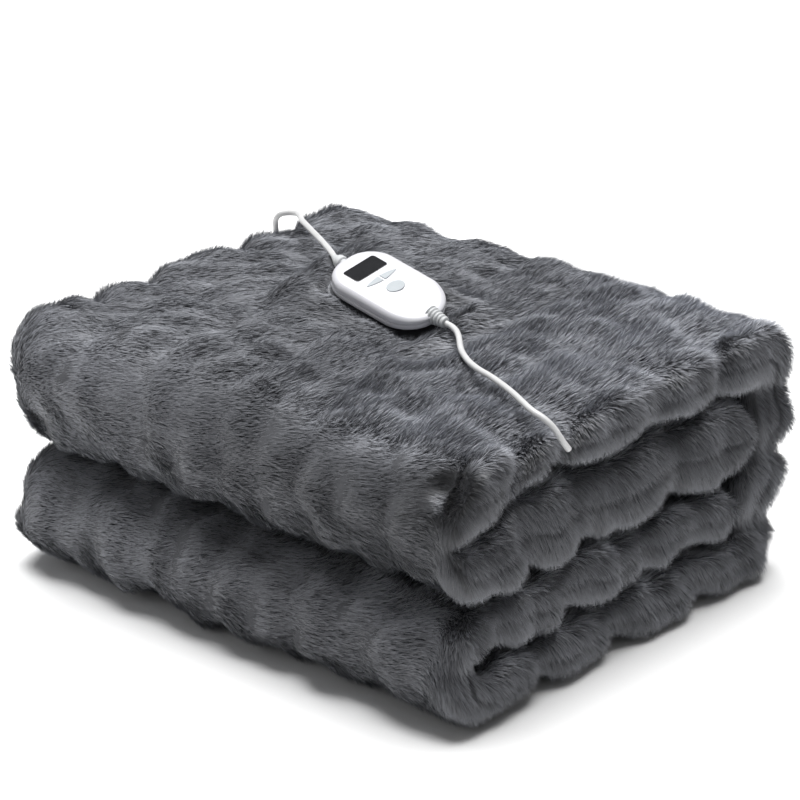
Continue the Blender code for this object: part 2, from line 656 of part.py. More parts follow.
def controller_outline(inset, points_per_corner=9):
    """Outline of the controller seen from above."""
    lead_corner, display_corner = CONTROLLER_CORNERS
    half_length = CONTROLLER_LENGTH / 2 - inset
    half_width = CONTROLLER_WIDTH / 2 - inset
    outline = []
    for x_sign, y_sign, radius, start in ((1, 1, lead_corner, 0), (-1, 1, display_corner, 90),
                                          (-1, -1, display_corner, 180), (1, -1, lead_corner, 270)):
        radius = max(radius - inset, 0.004)
        for step in range(points_per_corner):
            angle = math.radians(start + 90 * step / (points_per_corner - 1))
            outline.append((x_sign * (half_length - radius) + radius * math.cos(angle),
                            y_sign * (half_width - radius) + radius * math.sin(angle)))
    return outline


def end_droop(x, z):
    """The upper shell's face slopes down towards the blanket lead."""
    share = (z - PARTING_HEIGHT) / (CONTROLLER_HEIGHT - PARTING_HEIGHT)
    return z - FACE_DROOP * max(share, 0.0) * float(smooth_step(*FACE_DROOP_SPAN, x))


def loft(bm, rings):
    """Join rings of equal length, given as lists of points from the bottom up, and cap both ends."""
    levels = [[bm.verts.new(point) for point in ring] for ring in rings]
    for lower, upper in zip(levels, levels[1:]):
        for index in range(len(lower)):
            following = (index + 1) % len(lower)
            bm.faces.new((lower[index], lower[following], upper[following], upper[index]))
    bm.faces.new(levels[0][::-1])
    bm.faces.new(levels[-1])


def lofted_piece(name, rings, material, place, sharp=35):
    """A piece lofted through rings, put at a place."""
    bm = bmesh.new()
    loft(bm, rings)
    bmesh.ops.triangulate(bm, faces=[face for face in bm.faces if len(face.verts) > 4])
    mesh = bpy.data.meshes.new(name)
    bm.to_mesh(mesh)
    bm.free()
    mesh.shade_smooth()
    mesh.set_sharp_from_angle(angle=math.radians(sharp))
    piece = add_object(name, mesh, material)
    piece.matrix_world = place
    return piece


Level = namedtuple("Level", "z inset")
LOWER_LEVELS = (Level(0.0000, 0.0085), Level(0.0010, 0.0050), Level(0.0038, 0.0018),
                Level(PARTING_HEIGHT - CLEAR, 0.0003))
UPPER_LEVELS = (Level(PARTING_HEIGHT, 0.0003), Level(0.0120, 0.0002), Level(0.0152, 0.0010),
                Level(0.0178, 0.0024), Level(0.0191, 0.0042), Level(CONTROLLER_HEIGHT, 0.0068),
                Level(CONTROLLER_HEIGHT, 0.0140), Level(CONTROLLER_HEIGHT, 0.0240))


def shell_rings(levels):
    """Rings of a shell through its levels."""
    return [[(x, y, end_droop(x, level.z)) for x, y in controller_outline(level.inset)]
            for level in levels]


def rounded_rectangle(centre_x, size_x, size_y, radius, points_per_corner=5):
    """Outline of the display window."""
    outline = []
    for x_sign, y_sign, start in ((1, 1, 0), (-1, 1, 90), (-1, -1, 180), (1, -1, 270)):
        for step in range(points_per_corner):
            angle = math.radians(start + 90 * step / (points_per_corner - 1))
            outline.append((centre_x + x_sign * (size_x / 2 - radius) + radius * math.cos(angle),
                            y_sign * (size_y / 2 - radius) + radius * math.sin(angle)))
    return outline


def ellipse_outline(centre_x, size_x, size_y, points=24):
    """Outline of the oval button."""
    return [(centre_x + size_x / 2 * math.cos(2 * math.pi * step / points),
             size_y / 2 * math.sin(2 * math.pi * step / points)) for step in range(points)]


def half_lens_outline(centre_x, side, points=7):
    """Outline of one of the two buttons that share a lens shape, pointed at its far end."""
    start, end = LENS_SPLIT / 2, LENS_LENGTH / 2
    front, back = [], []
    for step in range(points):
        y = start + (end - start) * step / (points - 1)
        bulge = LENS_WIDTH / 2 * (1.0 - (y / (end + 0.0004)) ** 2) + 0.0003
        front.append((centre_x + bulge, side * y))
        back.append((centre_x - bulge, side * y))
    outline = front + back[::-1]
    return outline if side > 0 else outline[::-1]


def grown(outline, amount):
    """An outline moved outward by amount, point by point from its middle."""
    middle = np.mean(outline, axis=0)
    moved = []
    for x, y in outline:
        reach = math.hypot(x - middle[0], y - middle[1])
        moved.append((x + (x - middle[0]) / reach * amount, y + (y - middle[1]) / reach * amount))
    return moved


def add_face_piece(name, outline, proud, material, upper_shell):
    """A window or button in its pocket, which is cut into the upper shell around it."""
    floor = CONTROLLER_HEIGHT - POCKET_DEPTH
    cutter_rings = [[(x, y, z) for x, y in grown(outline, CLEAR)]
                    for z in (floor, CONTROLLER_HEIGHT + 0.004)]
    cutter = lofted_piece("cutter_" + name, cutter_rings, material, CONTROLLER_PLACE)
    cutter.hide_render = True
    cutter.display_type = "WIRE"
    cut = upper_shell.modifiers.new("pocket for " + name, "BOOLEAN")
    cut.operation = "DIFFERENCE"
    cut.solver = "EXACT"
    cut.object = cutter
    top = CONTROLLER_HEIGHT + proud
    rings = [[(x, y, floor + CLEAR) for x, y in outline],
             [(x, y, top - 0.0004) for x, y in outline],
             [(x, y, top) for x, y in grown(outline, -0.0005)]]
    lofted_piece(name, rings, material, CONTROLLER_PLACE)


def add_controller(materials):
    """Two shells, the window and three buttons."""
    lower = lofted_piece("controller_lower_shell", shell_rings(LOWER_LEVELS),
                         materials["white"], CONTROLLER_PLACE)
    upper = lofted_piece("controller_upper_shell", shell_rings(UPPER_LEVELS), materials["white"],
                         CONTROLLER_PLACE)
    display = rounded_rectangle(DISPLAY_X, DISPLAY_SIZE[0], DISPLAY_SIZE[1], DISPLAY_RADIUS)
    add_face_piece("display_window", display, DISPLAY_PROUD, materials["display"], upper)
    add_face_piece("button_plus", half_lens_outline(LENS_X, 1), BUTTON_PROUD,
                   materials["button"], upper)
    add_face_piece("button_minus", half_lens_outline(LENS_X, -1), BUTTON_PROUD,
                   materials["button"], upper)
    oval = ellipse_outline(OVAL_X, OVAL_SIZE[0], OVAL_SIZE[1])
    add_face_piece("button_power", oval, BUTTON_PROUD, materials["button"], upper)
    cut_lead_notch((lower, upper), materials["white"])


# ---------------------------------------------------------------- strain reliefs

Turn = namedtuple("Turn", "along radius")
MAINS_RELIEF_PROFILE = (Turn(0.0000, 0.0052), Turn(0.0024, 0.0050), Turn(0.0030, 0.0066),
                        Turn(0.0045, 0.0071), Turn(0.0080, 0.0069), Turn(0.0094, 0.0060),
                        Turn(0.0135, 0.0046), Turn(MAINS_RELIEF_LENGTH, 0.0036))
LEAD_RIBS = 5
LEAD_TAPER = 0.0034             # how much the radius falls over the ribs


def lead_relief_profile():
    """A taper with ribs, from the controller outward."""
    profile = [Turn(0.0, LEAD_RELIEF_ROOT)]
    ribbed = LEAD_RELIEF_LENGTH - 0.0050
    for rib in range(LEAD_RIBS):
        start = 0.0012 + ribbed * rib / LEAD_RIBS
        radius = LEAD_RELIEF_ROOT - LEAD_TAPER * rib / LEAD_RIBS
        profile.append(Turn(start, radius - 0.0009))
        profile.append(Turn(start + 0.0008, radius))
        profile.append(Turn(start + 0.0021, radius))
        profile.append(Turn(start + 0.0029, radius - 0.0009))
    profile.append(Turn(LEAD_RELIEF_LENGTH - 0.0030, 0.0055))
    profile.append(Turn(LEAD_RELIEF_LENGTH - 0.0008, 0.0053))
    profile.append(Turn(LEAD_RELIEF_LENGTH, 0.0046))
    return profile


def lead_relief_axis(along):
    """Middle of the straight lead relief and its heading, in the controller's own frame."""
    return (Vector((LEAD_RELIEF_START + along, 0.0, RELIEF_HEIGHT)),
            Vector((1.0, 0.0, 0.0)))


def relief_piece(name, profile, axis, material, sides=16):
    """A round piece whose radii follow a profile along an axis."""
    rings = []
    for turn in profile:
        middle, heading = axis(turn.along)
        across = heading.cross(Vector((0.0, 0.0, 1.0))).normalized()
        down = heading.cross(across)
        rings.append([tuple(middle + turn.radius * (math.cos(2 * math.pi * side / sides) * across
                                                    + math.sin(2 * math.pi * side / sides) * down))
                      for side in range(sides)])
    return lofted_piece(name, rings, material, CONTROLLER_PLACE)


def cut_lead_notch(shells, material):
    """The notch in the end of both shells that the lead relief's root sits in."""
    cutter_profile = (Turn(-CLEAR, LEAD_RELIEF_ROOT + 2.0 * CLEAR),
                      Turn(LEAD_RELIEF_SEAT + 0.004, LEAD_RELIEF_ROOT))
    cutter = relief_piece("cutter_lead_notch", cutter_profile, lead_relief_axis, material)
    cutter.hide_render = True
    cutter.display_type = "WIRE"
    for shell in shells:
        cut = shell.modifiers.new("notch for the lead relief", "BOOLEAN")
        cut.operation = "DIFFERENCE"
        cut.solver = "EXACT"
        cut.object = cutter


def add_reliefs(material):
    """The bent, stepped collar of the mains lead and the ribbed taper of the blanket lead."""
    relief_piece("mains_relief", MAINS_RELIEF_PROFILE, mains_relief_arc, material)
    relief_piece("lead_relief", lead_relief_profile(), lead_relief_axis, material)


# ---------------------------------------------------------------- cords, coil and plug

def add_cord(name, route, material):
    """A round cord along a route."""
    points = smooth_route(route, 2.5 * CORD_DIAMETER)
    curve = bpy.data.curves.new(name, "CURVE")
    curve.dimensions = "3D"
    curve.bevel_depth = CORD_DIAMETER / 2
    curve.bevel_resolution = 2
    curve.use_fill_caps = True
    spline = curve.splines.new("POLY")
    spline.points.add(len(points) - 1)
    for knot, point in zip(spline.points, points):
        knot.co = (*point, 1.0)
    curve.materials.append(material)
    cord = bpy.data.objects.new(name, curve)
    bpy.context.scene.collection.objects.link(cord)
    return cord


def add_coil(material, sides=36):
    """The outer shape of the coiled cord: a turned ring that lies on the floor."""
    half_width = (COIL_TURNS_ACROSS * CORD_PITCH + CORD_DIAMETER) / 2
    height = 2 * CORD_PITCH
    soften = 0.0022
    section = ((half_width - soften, 0.0), (half_width, soften), (half_width, height - soften),
               (half_width - soften, height), (soften - half_width, height),
               (-half_width, height - soften), (-half_width, soften), (soften - half_width, 0.0))
    bm = bmesh.new()
    rings = []
    for side in range(sides):
        angle = 2 * math.pi * side / sides
        ring = [bm.verts.new((COIL_CENTRE[0] + (COIL_RADIUS + across) * math.cos(angle),
                              COIL_CENTRE[1] + (COIL_RADIUS + across) * math.sin(angle), up))
                for across, up in section]
        rings.append(ring)
    for ring, following in zip(rings, rings[1:] + rings[:1]):
        for index in range(len(section)):
            beside = (index + 1) % len(section)
            bm.faces.new((ring[index], following[index], following[beside], ring[beside]))
    mesh = bpy.data.meshes.new("mains_lead_coil")
    bm.to_mesh(mesh)
    bm.free()
    mesh.shade_smooth()
    return add_object("mains_lead_coil", mesh, material)


def plug_ring(along, width, thickness, points=20):
    """A rounded cross-section of the plug, along its axis from where the cord goes in."""
    ring = []
    power = 0.55
    for step in range(points):
        angle = 2 * math.pi * step / points
        across = math.copysign(abs(math.cos(angle)) ** power, math.cos(angle))
        up = math.copysign(abs(math.sin(angle)) ** power, math.sin(angle))
        ring.append((width / 2 * across, -along, thickness / 2 * up))
    return ring


PlugSection = namedtuple("PlugSection", "along width thickness")


def add_plug(body_material, pin_material):
    """A flat two-pin plug on the floor, its pins along -Y."""
    place = Matrix.Translation(Vector((*PLUG_PLACE, PLUG_THICKNESS / 2)))
    end = PLUG_TAPER + PLUG_LENGTH
    sections = (PlugSection(0.0, 0.0084, 0.0080), PlugSection(PLUG_TAPER * 0.6, 0.0100, 0.0092),
                PlugSection(PLUG_TAPER, 0.0150, 0.0110),
                PlugSection(PLUG_TAPER + 0.010, 0.0260, 0.0130),
                PlugSection(PLUG_TAPER + 0.018, PLUG_WIDTH - 0.002, PLUG_THICKNESS),
                PlugSection(end - 0.0015, PLUG_WIDTH, PLUG_THICKNESS),
                PlugSection(end, PLUG_WIDTH - 0.0022, PLUG_THICKNESS - 0.0022))
    lofted_piece("plug_body", [plug_ring(*section) for section in sections], body_material, place)
    for name, side in (("plug_pin_left", -1), ("plug_pin_right", 1)):
        rings = []
        for along, radius in ((end + CLEAR, PIN_DIAMETER / 2),
                              (end + PIN_LENGTH - PIN_CHAMFER, PIN_DIAMETER / 2),
                              (end + PIN_LENGTH, PIN_DIAMETER / 2 - PIN_CHAMFER)):
            rings.append([(side * PIN_SPACING / 2 + radius * math.cos(2 * math.pi * step / 12), -along,
                           radius * math.sin(2 * math.pi * step / 12)) for step in range(12)])
        lofted_piece(name, rings, pin_material, place)


# ---------------------------------------------------------------- the whole part

MATERIALS = {
    "fur": plain_material("Fur pile", COLOURS["fur"], 0.85),
    "white": plain_material("White plastic", COLOURS["white"], 0.35),
    "cord": plain_material("Cord sheath", COLOURS["cord"], 0.50),
    "relief": plain_material("Relief rubber", COLOURS["relief"], 0.55),
    "button": plain_material("Button rubber", COLOURS["button"], 0.60),
    "display": plain_material("Display glass", COLOURS["display"], 0.12),
    "brass": plain_material("Plated brass", COLOURS["brass"], 0.25, metallic=1.0),
}

add_blanket(MATERIALS["fur"])
add_controller(MATERIALS)
add_reliefs(MATERIALS["relief"])
add_cord("blanket_lead", BLANKET_LEAD_ROUTE, MATERIALS["cord"])
add_cord("mains_lead", MAINS_LEAD_ROUTE, MATERIALS["cord"])
add_cord("mains_lead_tail", MAINS_TAIL_ROUTE, MATERIALS["cord"])
add_coil(MATERIALS["cord"])
add_plug(MATERIALS["cord"], MATERIALS["brass"])
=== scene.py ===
"""A folded electric heated blanket of ruched faux fur, with its controller and leads."""

import math
from collections import namedtuple

import bmesh
import bpy
import numpy as np
from mathutils import Matrix, Vector
from mathutils.bvhtree import BVHTree


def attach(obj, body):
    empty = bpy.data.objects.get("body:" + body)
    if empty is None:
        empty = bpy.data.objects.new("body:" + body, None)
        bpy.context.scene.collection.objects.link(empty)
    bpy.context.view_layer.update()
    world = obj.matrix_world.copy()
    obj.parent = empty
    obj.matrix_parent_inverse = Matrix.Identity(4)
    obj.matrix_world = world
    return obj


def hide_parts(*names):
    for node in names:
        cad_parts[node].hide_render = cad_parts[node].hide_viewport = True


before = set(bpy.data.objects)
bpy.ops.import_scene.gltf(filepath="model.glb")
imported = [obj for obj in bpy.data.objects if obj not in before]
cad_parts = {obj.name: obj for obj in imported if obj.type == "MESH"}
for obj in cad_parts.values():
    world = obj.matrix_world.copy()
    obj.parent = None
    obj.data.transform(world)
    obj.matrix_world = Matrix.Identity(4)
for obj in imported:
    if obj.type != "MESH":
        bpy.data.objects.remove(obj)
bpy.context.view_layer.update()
bpy.context.scene.view_settings.view_transform = "Standard"


# ================================================================ camera
# A long lens a little above the blanket, looking at its front right corner as the photograph does.

camera_azimuth = math.radians(41.487)
camera_height = math.radians(23.628)
camera_distance = 3.0297
aim = Vector((0.0, 0.0, 0.13))
towards_camera = Vector((math.sin(camera_azimuth) * math.cos(camera_height),
                         -math.cos(camera_azimuth) * math.cos(camera_height),
                         math.sin(camera_height)))
camera_data = bpy.data.cameras.new("camera")
camera_data.lens = 138.08
camera_data.sensor_width = 36.0
camera_data.shift_x = 0.0022
camera_data.shift_y = 0.0555
camera_data.clip_end = 60.0
camera = bpy.data.objects.new("camera", camera_data)
camera.location = aim + camera_distance * towards_camera
camera.rotation_euler = (-towards_camera).to_track_quat("-Z", "Y").to_euler()
bpy.context.scene.collection.objects.link(camera)
bpy.context.scene.camera = camera


# ================================================================ leads
# Round two-core leads in a soft white PVC sheath. The mains lead runs over the blanket's left edge
# and lies coiled on the floor beside it, and the blanket lead runs into the cloth.

CORD_DIAMETER = 0.006
CORD_PITCH = 0.0061                 # between turns that touch
COIL_CENTRE = (-0.349, 0.055)
COIL_OUTER_TURN = 0.0431            # radius of the first and the last turn
COIL_INNER_TURN = 0.0248            # radius where the lower layer climbs to the upper one
PLUG_PLACE = (-0.335, -0.055)
PLUG_THICKNESS = 0.0137

CONTROLLER_CENTRE = (-0.0112, -0.0002, 0.2810)
CONTROLLER_LENGTH = 0.1210
RELIEF_HEIGHT = 0.0098
MAINS_RELIEF_LENGTH = 0.020
MAINS_RELIEF_BEND = 41.1            # degrees that this relief turns the mains lead through
MAINS_RELIEF_ROLL = -35.6           # degrees that its turn is rolled out of the controller's plane
LEAD_RELIEF_LENGTH = 0.0200
LEAD_RELIEF_SEAT = 0.0070           # how deep its root sits in a notch of the two shells
CONTROLLER_HEADING = -1.8           # degrees that it is turned on the blanket
CONTROLLER_LEAN = 16.0              # degrees that it tips up, about a level line
CONTROLLER_LEAN_AXIS = 43.9         # degrees from +X to that line
CLEAR = 0.0003                      # between pieces that touch

lean_line = math.radians(CONTROLLER_LEAN_AXIS)
CONTROLLER_PLACE = (Matrix.Translation(Vector(CONTROLLER_CENTRE))
                    @ Matrix.Rotation(math.radians(CONTROLLER_LEAN), 4,
                                      Vector((math.cos(lean_line), math.sin(lean_line), 0.0)))
                    @ Matrix.Rotation(math.radians(CONTROLLER_HEADING), 4, "Z"))


def controller_point(x, y, z):
    """World place of a point given in the controller's own frame."""
    return CONTROLLER_PLACE @ Vector((x, y, z))


def mains_relief_arc(along):
    """Middle of the bent mains relief and its heading there, in the controller's own frame."""
    bend = math.radians(MAINS_RELIEF_BEND)
    roll = math.radians(MAINS_RELIEF_ROLL)
    angle = bend * along / MAINS_RELIEF_LENGTH
    out = Vector((-1.0, 0.0, 0.0))
    aside = Vector((0.0, math.cos(roll), math.sin(roll)))
    start = Vector((-CONTROLLER_LENGTH / 2 - CLEAR, 0.0, RELIEF_HEIGHT))
    radius = MAINS_RELIEF_LENGTH / bend
    middle = start + radius * (math.sin(angle) * out + (1.0 - math.cos(angle)) * aside)
    return middle, math.cos(angle) * out + math.sin(angle) * aside


def mains_exit(beyond):
    """World place on the mains lead, so far beyond the end of its relief."""
    middle, heading = mains_relief_arc(MAINS_RELIEF_LENGTH)
    return tuple(CONTROLLER_PLACE @ (middle + (CLEAR + beyond) * heading))


LEAD_RELIEF_START = CONTROLLER_LENGTH / 2 - LEAD_RELIEF_SEAT + CLEAR
LEAD_EXIT_X = LEAD_RELIEF_START + LEAD_RELIEF_LENGTH + CLEAR

# Over the left side edge near the back, down to the floor and along it to the coil.
MAINS_LEAD_ROUTE = (
    mains_exit(0.0),
    mains_exit(0.003),
    mains_exit(0.006),
    (-0.1067, 0.0203, 0.3004),
    (-0.1216, 0.0315, 0.2982),
    (-0.1366, 0.0425, 0.2960),
    (-0.1517, 0.0533, 0.2938),
    (-0.1670, 0.0640, 0.2916),
    (-0.1823, 0.0746, 0.2894),
    (-0.1975, 0.0853, 0.2872),
    (-0.2128, 0.0959, 0.2851),
    (-0.2279, 0.1069, 0.2828),
    (-0.2418, 0.1191, 0.2802),
    (-0.2576, 0.1286, 0.2776),
    (-0.2756, 0.1287, 0.2732),
    (-0.2840, 0.1297, 0.2680),
    (-0.2915, 0.1340, 0.2600),
    (-0.2965, 0.1390, 0.2500),
    (-0.3000, 0.1430, 0.2350),
    (-0.3020, 0.1450, 0.2050),
    (-0.3030, 0.1430, 0.1500),
    (-0.3060, 0.1390, 0.0900),
    (-0.3060, 0.1360, 0.0480),
    (-0.3060, 0.1270, 0.0190),
    (-0.3060, 0.1080, 0.0045),
    (-0.3060, 0.0900, 0.0031),
    (-0.3060, 0.0783, 0.0031),
)

# Off the top of the coil, down to the floor and to the plug.
MAINS_TAIL_ROUTE = (
    (-0.3060, 0.0317, 0.0088),
    (-0.3068, 0.0150, 0.0070),
    (-0.3115, -0.0010, 0.0042),
    (-0.3205, -0.0170, 0.0036),
    (-0.3300, -0.0310, 0.0052),
    (PLUG_PLACE[0], PLUG_PLACE[1] + 0.0120, PLUG_THICKNESS / 2),
    (PLUG_PLACE[0], PLUG_PLACE[1] + 0.0060, PLUG_THICKNESS / 2),
    (PLUG_PLACE[0], PLUG_PLACE[1] + CLEAR, PLUG_THICKNESS / 2),
)

# Across the top ply and down the valley between two lobes of its edge, into the cloth.
BLANKET_LEAD_ROUTE = (
    tuple(controller_point(LEAD_EXIT_X, 0.0, RELIEF_HEIGHT)),
    tuple(controller_point(LEAD_EXIT_X + 0.003, 0.0, RELIEF_HEIGHT)),
    tuple(controller_point(LEAD_EXIT_X + 0.006, 0.0, RELIEF_HEIGHT)),
    (0.0778, -0.0064, 0.2740),
    (0.0892, -0.0153, 0.2743),
    (0.1011, -0.0273, 0.2749),
    (0.1122, -0.0391, 0.2756),
    (0.1238, -0.0499, 0.2761),
    (0.1365, -0.0594, 0.2764),
    (0.1474, -0.0658, 0.2762),
    (0.1632, -0.0724, 0.2760),
    (0.1796, -0.0773, 0.2760),
    (0.1956, -0.0833, 0.2760),
    (0.2113, -0.0900, 0.2761),
    (0.2269, -0.0971, 0.2758),
    (0.2422, -0.1046, 0.2752),
    (0.2568, -0.1101, 0.2735),
    (0.2701, -0.1095, 0.2692),
    (0.2784, -0.1064, 0.2621),
    (0.2826, -0.1028, 0.2536),
    (0.2838, -0.0970, 0.2450),
    (0.2835, -0.0900, 0.2370),
)


def smooth_route(route, step):
    """Points, about step apart, on the smooth curve through a route's own points."""
    knots = np.array(route, dtype=float)
    chord = np.sqrt(np.linalg.norm(np.diff(knots, axis=0), axis=1))
    slope = np.diff(knots, axis=0) / chord[:, None]
    before, after = chord[:-1, None], chord[1:, None]
    inside = (slope[:-1] * after + slope[1:] * before) / (before + after)
    tangent = np.vstack([slope[:1], inside, slope[-1:]])
    dense = []
    for index in range(len(knots) - 1):
        start, end, span = knots[index], knots[index + 1], chord[index]
        for part in np.linspace(0.0, 1.0, 24, endpoint=False):
            dense.append((2 * part ** 3 - 3 * part ** 2 + 1) * start
                         + (part ** 3 - 2 * part ** 2 + part) * span * tangent[index]
                         + (3 * part ** 2 - 2 * part ** 3) * end
                         + (part ** 3 - part ** 2) * span * tangent[index + 1])
    dense.append(knots[-1])
    dense = np.array(dense)
    length = np.concatenate([[0.0], np.cumsum(np.linalg.norm(np.diff(dense, axis=0), axis=1))])
    even = np.linspace(0.0, length[-1], max(2, round(length[-1] / step)) + 1)
    return np.column_stack([np.interp(even, length, dense[:, axis]) for axis in range(3)])


def coil_points(points_per_turn=16):
    """Six clockwise turns: in along the floor, up at the middle, and out again on top of them."""
    points = []
    total = 6 * points_per_turn
    lower = 3 * points_per_turn
    climb = points_per_turn / 3
    for step in range(total + 1):
        if step <= lower:
            share = step / lower
            radius = COIL_OUTER_TURN + (COIL_INNER_TURN - COIL_OUTER_TURN) * share
        else:
            share = max(0.0, (step - lower - climb) / (total - lower - climb))
            radius = COIL_INNER_TURN + (COIL_OUTER_TURN - COIL_INNER_TURN) * share
        rise = min(max((step - lower) / climb, 0.0), 1.0)
        height = CORD_DIAMETER / 2 + 0.0001 + CORD_PITCH * rise * rise * (3 - 2 * rise)
        angle = -2 * math.pi * step / points_per_turn
        points.append((COIL_CENTRE[0] + radius * math.cos(angle),
                       COIL_CENTRE[1] + radius * math.sin(angle), height))
    return np.array(points)


def linear(hex_colour):
    """A colour for Blender from an sRGB hex value."""
    channels = [int(hex_colour[place:place + 2], 16) / 255 for place in (1, 3, 5)]
    return tuple(c / 12.92 if c <= 0.04045 else ((c + 0.055) / 1.055) ** 2.4
                 for c in channels) + (1.0,)


def add_node(material, kind, settings=None, links=None):
    """Add a node with its settings, and link its inputs from (node, output) pairs."""
    node = material.node_tree.nodes.new(kind)
    for name, value in (settings or {}).items():
        if hasattr(node, name) and name not in node.inputs:
            setattr(node, name, value)
        else:
            node.inputs[name].default_value = value
    for name, (source, output) in (links or {}).items():
        material.node_tree.links.new(source.outputs[output], node.inputs[name])
    return node


def start_material(name, settings):
    """A material with its Principled shader set, and that shader."""
    material = bpy.data.materials.new(name)
    material.use_nodes = True
    shader = material.node_tree.nodes["Principled BSDF"]
    for socket, value in settings.items():
        shader.inputs[socket].default_value = value
    return material, shader


def wire(material, source, output, target, socket):
    """Link one socket to another."""
    material.node_tree.links.new(source.outputs[output], target.inputs[socket])


def two_tone(material, shader, factor, colours):
    """Colour that wavers between two."""
    tint = add_node(material, "ShaderNodeMix", {"data_type": "RGBA"}, {"Factor": factor})
    tint.inputs[6].default_value, tint.inputs[7].default_value = map(linear, colours)
    wire(material, tint, 2, shader, "Base Color")


def clouded_material(name, settings, colours, cloud, grain=None, bump=None):
    """A two-tone material. Cloud and grain are the scale and detail of the noise that its colour
    and its relief follow, and bump is the strength and the depth of the relief."""
    material, shader = start_material(name, settings)
    place = add_node(material, "ShaderNodeTexCoord")
    noises = [add_node(material, "ShaderNodeTexNoise", {"Scale": noise[0], "Detail": noise[1]},
                       {"Vector": (place, "Object")}) for noise in (cloud, grain) if noise]
    two_tone(material, shader, (noises[0], "Fac"), colours)
    if grain:
        relief = add_node(material, "ShaderNodeBump", {"Strength": bump[0], "Distance": bump[1]},
                          {"Height": (noises[1], "Fac")})
        wire(material, relief, "Normal", shader, "Normal")
    return material


# Extruded soft PVC: a silky sheath with faint drawing lines and a slight waviness.
cord_pvc = clouded_material("Extruded soft PVC sheath", {"Roughness": 0.38, "IOR": 1.53},
                            ("#c2c2c1", "#d1d1d2"), cloud=(90.0, 3.0), grain=(900.0, 2.0),
                            bump=(0.10, 0.0003))


def add_lead(name, points):
    """A round lead through its points."""
    curve = bpy.data.curves.new(name, "CURVE")
    curve.dimensions = "3D"
    curve.bevel_depth = CORD_DIAMETER / 2
    curve.bevel_resolution = 6
    curve.use_fill_caps = True
    curve.resolution_u = 5
    spline = curve.splines.new("BEZIER")
    spline.bezier_points.add(len(points) - 1)
    for knot, point in zip(spline.bezier_points, points):
        knot.co = point
        knot.handle_left_type = "AUTO"
        knot.handle_right_type = "AUTO"
    curve.materials.append(cord_pvc)
    lead = bpy.data.objects.new(name, curve)
    bpy.context.scene.collection.objects.link(lead)
    return lead


mains_points = np.vstack([MAINS_LEAD_ROUTE, coil_points(), MAINS_TAIL_ROUTE])
mains_lead = add_lead("mains_lead_with_coil", mains_points)
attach(mains_lead, "root")
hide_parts("mains_lead", "mains_lead_coil", "mains_lead_tail")

blanket_lead_points = np.array(BLANKET_LEAD_ROUTE)
blanket_lead = add_lead("blanket_lead_in_fur", blanket_lead_points)
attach(blanket_lead, "root")
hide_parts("blanket_lead")


# ================================================================ plug
# A flat two-pin mains plug with a body of moulded PVC on the end of the mains lead, and pins of
# nickel-plated brass. Its neck tapers down to the lead, with cast grip ribs on both flat faces.

PLUG_TAPER = 0.020
PLUG_LENGTH = 0.034
PLUG_WIDTH = 0.0353
PLUG_SQUARENESS = 0.55              # power of its section: 1 is round, less is squarer
GRIP_START = 0.026
GRIP_PITCH = 0.0032
GRIP_RIBS = 5
GRIP_DEPTH = 0.0006
GRIP_SHARE = 0.62                   # of the plug's width that the ribs cover
PIN_OFFSET = 0.0093                 # of each pin from the middle
PIN_RADIUS = 0.0020
PIN_LENGTH = 0.0190

# Moulded PVC: satin, with the fine spark grain of the tool.
plug_pvc = clouded_material("Moulded PVC", {"Roughness": 0.42, "IOR": 1.53},
                            ("#c0c0bf", "#cbcbcb"), cloud=(60.0, 2.0), grain=(2200.0, 2.0),
                            bump=(0.15, 0.0002))

# Nickel plate: bright, and slightly uneven in tone.
nickel = clouded_material("Nickel-plated brass", {"Roughness": 0.24, "Metallic": 1.0},
                          ("#c9c4b8", "#dbd8d0"), cloud=(700.0, 2.0))


def loft_piece(name, rings, material, place, sharp=40):
    """A closed piece lofted through rings of equal length, put at a place."""
    bm = bmesh.new()
    levels = [[bm.verts.new(point) for point in ring] for ring in rings]
    for lower, upper in zip(levels, levels[1:]):
        for index in range(len(lower)):
            following = (index + 1) % len(lower)
            bm.faces.new((lower[index], lower[following], upper[following], upper[index]))
    bm.faces.new(levels[0][::-1])
    bm.faces.new(levels[-1])
    bmesh.ops.recalc_face_normals(bm, faces=bm.faces)
    mesh = bpy.data.meshes.new(name)
    bm.to_mesh(mesh)
    bm.free()
    mesh.shade_smooth()
    mesh.set_sharp_from_angle(angle=math.radians(sharp))
    mesh.materials.append(material)
    piece = bpy.data.objects.new(name, mesh)
    piece.matrix_world = place
    bpy.context.scene.collection.objects.link(piece)
    return piece


def plug_ring(along, width, thickness, rib=0.0):
    """A rounded cross-section of the plug, with the ribs of its grip sunk by rib."""
    ring = []
    for step in range(64):
        angle = 2 * math.pi * step / 64
        across = math.copysign(abs(math.cos(angle)) ** PLUG_SQUARENESS, math.cos(angle))
        up = math.copysign(abs(math.sin(angle)) ** PLUG_SQUARENESS, math.sin(angle))
        sunk = rib if abs(across) < GRIP_SHARE else 0.0
        ring.append((width / 2 * across, -along, (thickness / 2 - sunk) * up))
    return ring


